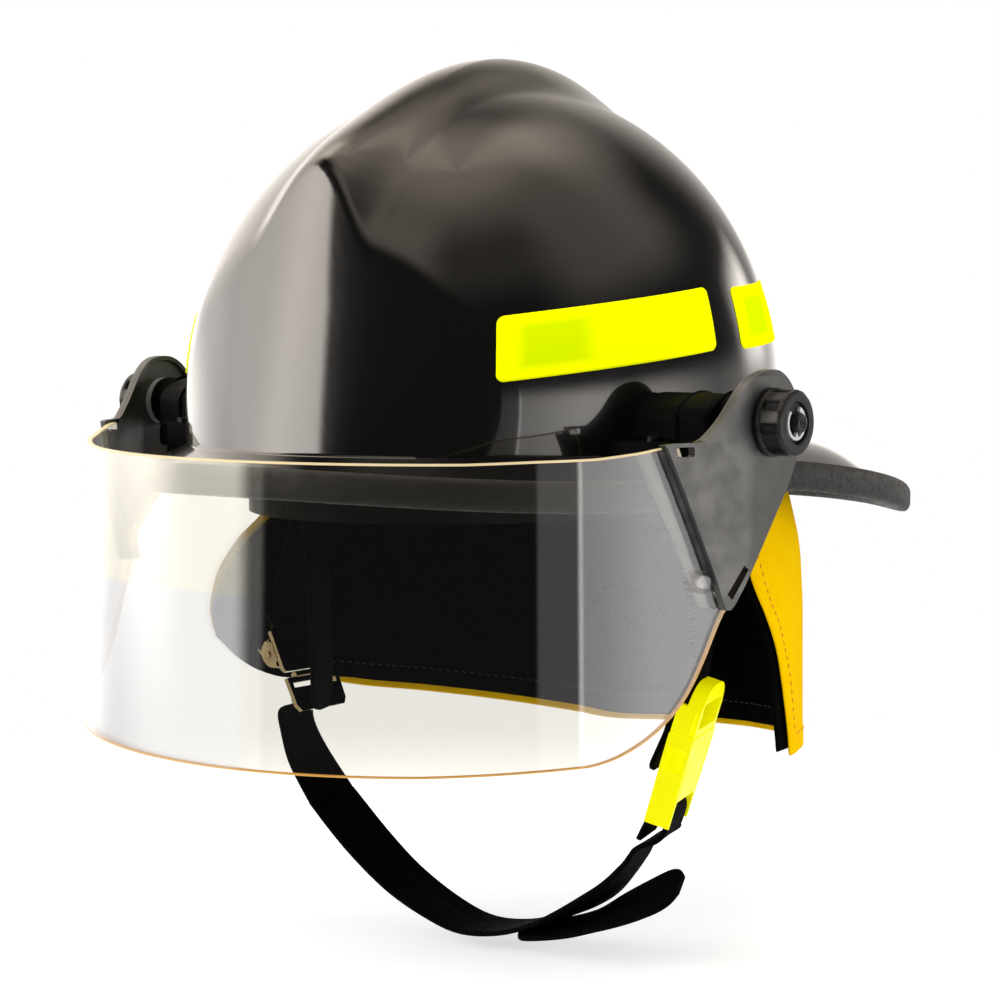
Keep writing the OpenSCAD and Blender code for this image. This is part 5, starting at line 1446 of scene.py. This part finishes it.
# %% Kept parts
kept = {"headband": "band", "strap_hangers": "band", "nape_yoke": "band", "ratchet_housing": "band",
        "rack_left": "band", "rack_right": "band", "ratchet_dial": "knob", "bracket_screws": "dark_steel",
        "friction_washer_left": "washer", "friction_washer_right": "washer",
        "strap_anchor_left": "steel", "strap_anchor_right": "steel"}
for node, finish in kept.items():
    obj = bpy.data.objects[node]
    for slot in obj.material_slots:
        slot.material = finishes[finish]
    if not obj.material_slots:
        obj.data.materials.append(finishes[finish])
print(len(kept), "kept parts have their finish")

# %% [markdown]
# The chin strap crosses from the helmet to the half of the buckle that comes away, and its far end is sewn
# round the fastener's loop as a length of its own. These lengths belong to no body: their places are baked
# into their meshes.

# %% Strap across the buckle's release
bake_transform(chin_strap)
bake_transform(chin_tail)
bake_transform(loop_end)

# %% [markdown]
# The photograph was taken in a white studio. Gloss shows the studio itself: a tall soft box on the left, a
# wide one overhead, low white cards on the right, darkness behind the camera and white paper behind the
# helmet. The world holds those for mirror rays only, so that they draw the reflections, while a few soft
# lamps that gloss can't see give the plain light on the cloth and plastic. Camera rays see plain white.

# %% Studio
DEGREES, PLAIN_LIGHT = 57.3, 0.62
world = bpy.data.worlds.new("studio")
bpy.context.scene.world = world
world.use_nodes = True
sky = Nodes(world.node_tree)
coordinates = sky.add("TexCoord")


def towards(direction):
    """Cosine between the ray and a direction."""
    return sky.add("VectorMath", {0: coordinates, 1: direction}, out="Value", operation="DOT_PRODUCT")


def band_of(value, low, high, soft):
    """1 between low and high, with soft edges."""
    return value.step(low - soft, low + soft) * value.fall(high - soft, high + soft)


level_back = Vector((back.x, back.y, 0)).normalized()
rise, side, depth = towards((0, 0, 1)), towards(right), towards(level_back)
turn = side.math("ARCTAN2", side, depth) * DEGREES
lift = rise.math("ARCSINE", rise) * DEGREES
slant = turn + 1.45 * (lift - 10).most(0.0)
left_box = slant.step(-53, -48, 9.2, 0.0) * turn.step(-116, -78) * band_of(lift, 3, 38, 5)
left_far = turn.step(-180, -105, 0.5, 3.5) * turn.fall(-112, -88) * band_of(lift, 0, 46, 9)
left_low = turn.step(-150, -122, 1.7, 0.97) * turn.fall(-63, -61) * lift.fall(0, 6)
overhead = lift.step(54, 84) * 1.9
back_high = (abs(turn).step(95, 135) * abs(turn).step(148, 172, 1.0, 0.12)
             * lift.step(36, 66) * lift.step(62, 80, 1.8, 0.7))
back_left = band_of(turn, -152, -115, 16) * band_of(lift, 46, 66, 8) * 3.0
front_high = (band_of(turn, -62, -8, 16) * band_of(lift, 44, 66, 9) * 1.3
              + band_of(turn, -8, 60, 18) * band_of(lift, 40, 66, 8) * 0.3)
right_mid = band_of(turn, 55, 115, 16) * band_of(lift, 30, 64, 9) * 0.85
right_steps = (turn.step(17.5, 19) * 0.65 + turn.step(29.5, 31) * 2.1 + turn.step(31, 57) * 1.9
               + band_of(turn, 30, 31.2, 0.4) * 3)
right_low = right_steps * turn.step(68, 112, 1.0, 0.15) * band_of(lift, -20, 5, 3)
right_back = band_of(turn, 128, 145, 6) * band_of(lift, 3, 15, 4) * 4.0
horizon = abs(turn).step(135, 168) * lift.step(30, 60, 0.6, 0.1) * lift.fall(60, 75)
mirror_light = (0.06 + left_box + left_far + left_low + overhead + back_high + back_left + front_high + right_mid
                + right_low + right_back + horizon)
eye, mirror, through = sky.rays()
plain = eye.most(through)
strength = plain + (1 - plain) * (mirror * mirror_light + (1 - mirror) * PLAIN_LIGHT)
warm = sky.tint((mirror * (1 - plain)) * lift.step(-30, 75, 0.15, 1.0), (1, 1, 1), (1, 0.86, 0.71))
background = sky.tree.nodes["Background"]
plug(sky.tree, background.inputs["Strength"], strength)
plug(sky.tree, background.inputs["Color"], warm)


def soft_box(name, place, aim, width, height, power):
    """A soft rectangular lamp that looks from place to aim; gloss doesn't see it."""
    lamp = bpy.data.lights.new(name, "AREA")
    lamp.shape, lamp.size, lamp.size_y, lamp.energy = "RECTANGLE", width, height, power
    obj = new_object(name, lamp)
    obj.location = place
    obj.rotation_euler = (Vector(aim) - Vector(place)).to_track_quat("-Z", "Y").to_euler()
    obj.visible_glossy = False


aim = Vector((0, 0, 0.02))
soft_box("left_soft_box", aim - right * 1.7 + level_back * 0.5 + Vector((0, 0, 0.6)), aim, 1.3, 1.1, 22)
soft_box("top_soft_box", aim + level_back * 0.3 + Vector((0, 0, 1.8)), aim, 1.6, 1.6, 16)
soft_box("right_soft_box", aim + right * 1.7 + level_back * 0.7 + Vector((0, 0, 0.3)), aim, 1.0, 1.2, 14)
print(len(bpy.data.lights), "lamps")

# %% Floor
FLOOR_Z, FLOOR_RINGS, FLOOR_SIDES = -172.5, (40.0, 240.0, 440.0, 640.0), 96
paper = Finish("studio_paper", roughness=0.9, specular_ior_level=0.1)
paper.set(base_color=paper.tint(paper.noise(3.0, 2.0), grey(0.78), grey(0.82)))
eye, mirror, through = paper.rays()
paper.set(emission_color=(1, 1, 1), emission_strength=eye.most(mirror).most(through) * 0.54)
x, y, _ = paper.axes(paper.place())
paper.set(alpha=((x * x + y * y) ** 0.5).fall(0.24, 0.56))
disc = np.concatenate([np.column_stack([circle(0, 0, r, FLOOR_SIDES), np.full(FLOOR_SIDES, FLOOR_Z)])
                       for r in FLOOR_RINGS])
quads = sheet_quads(len(FLOOR_RINGS), FLOOR_SIDES, 0, True, True)
mesh = mesh_of("studio_floor", disc, [quads, range(FLOOR_SIDES)], MM)
mesh.materials.append(paper.material)
new_object("studio_floor", mesh)
bpy.context.scene.view_settings.view_transform = "Standard"
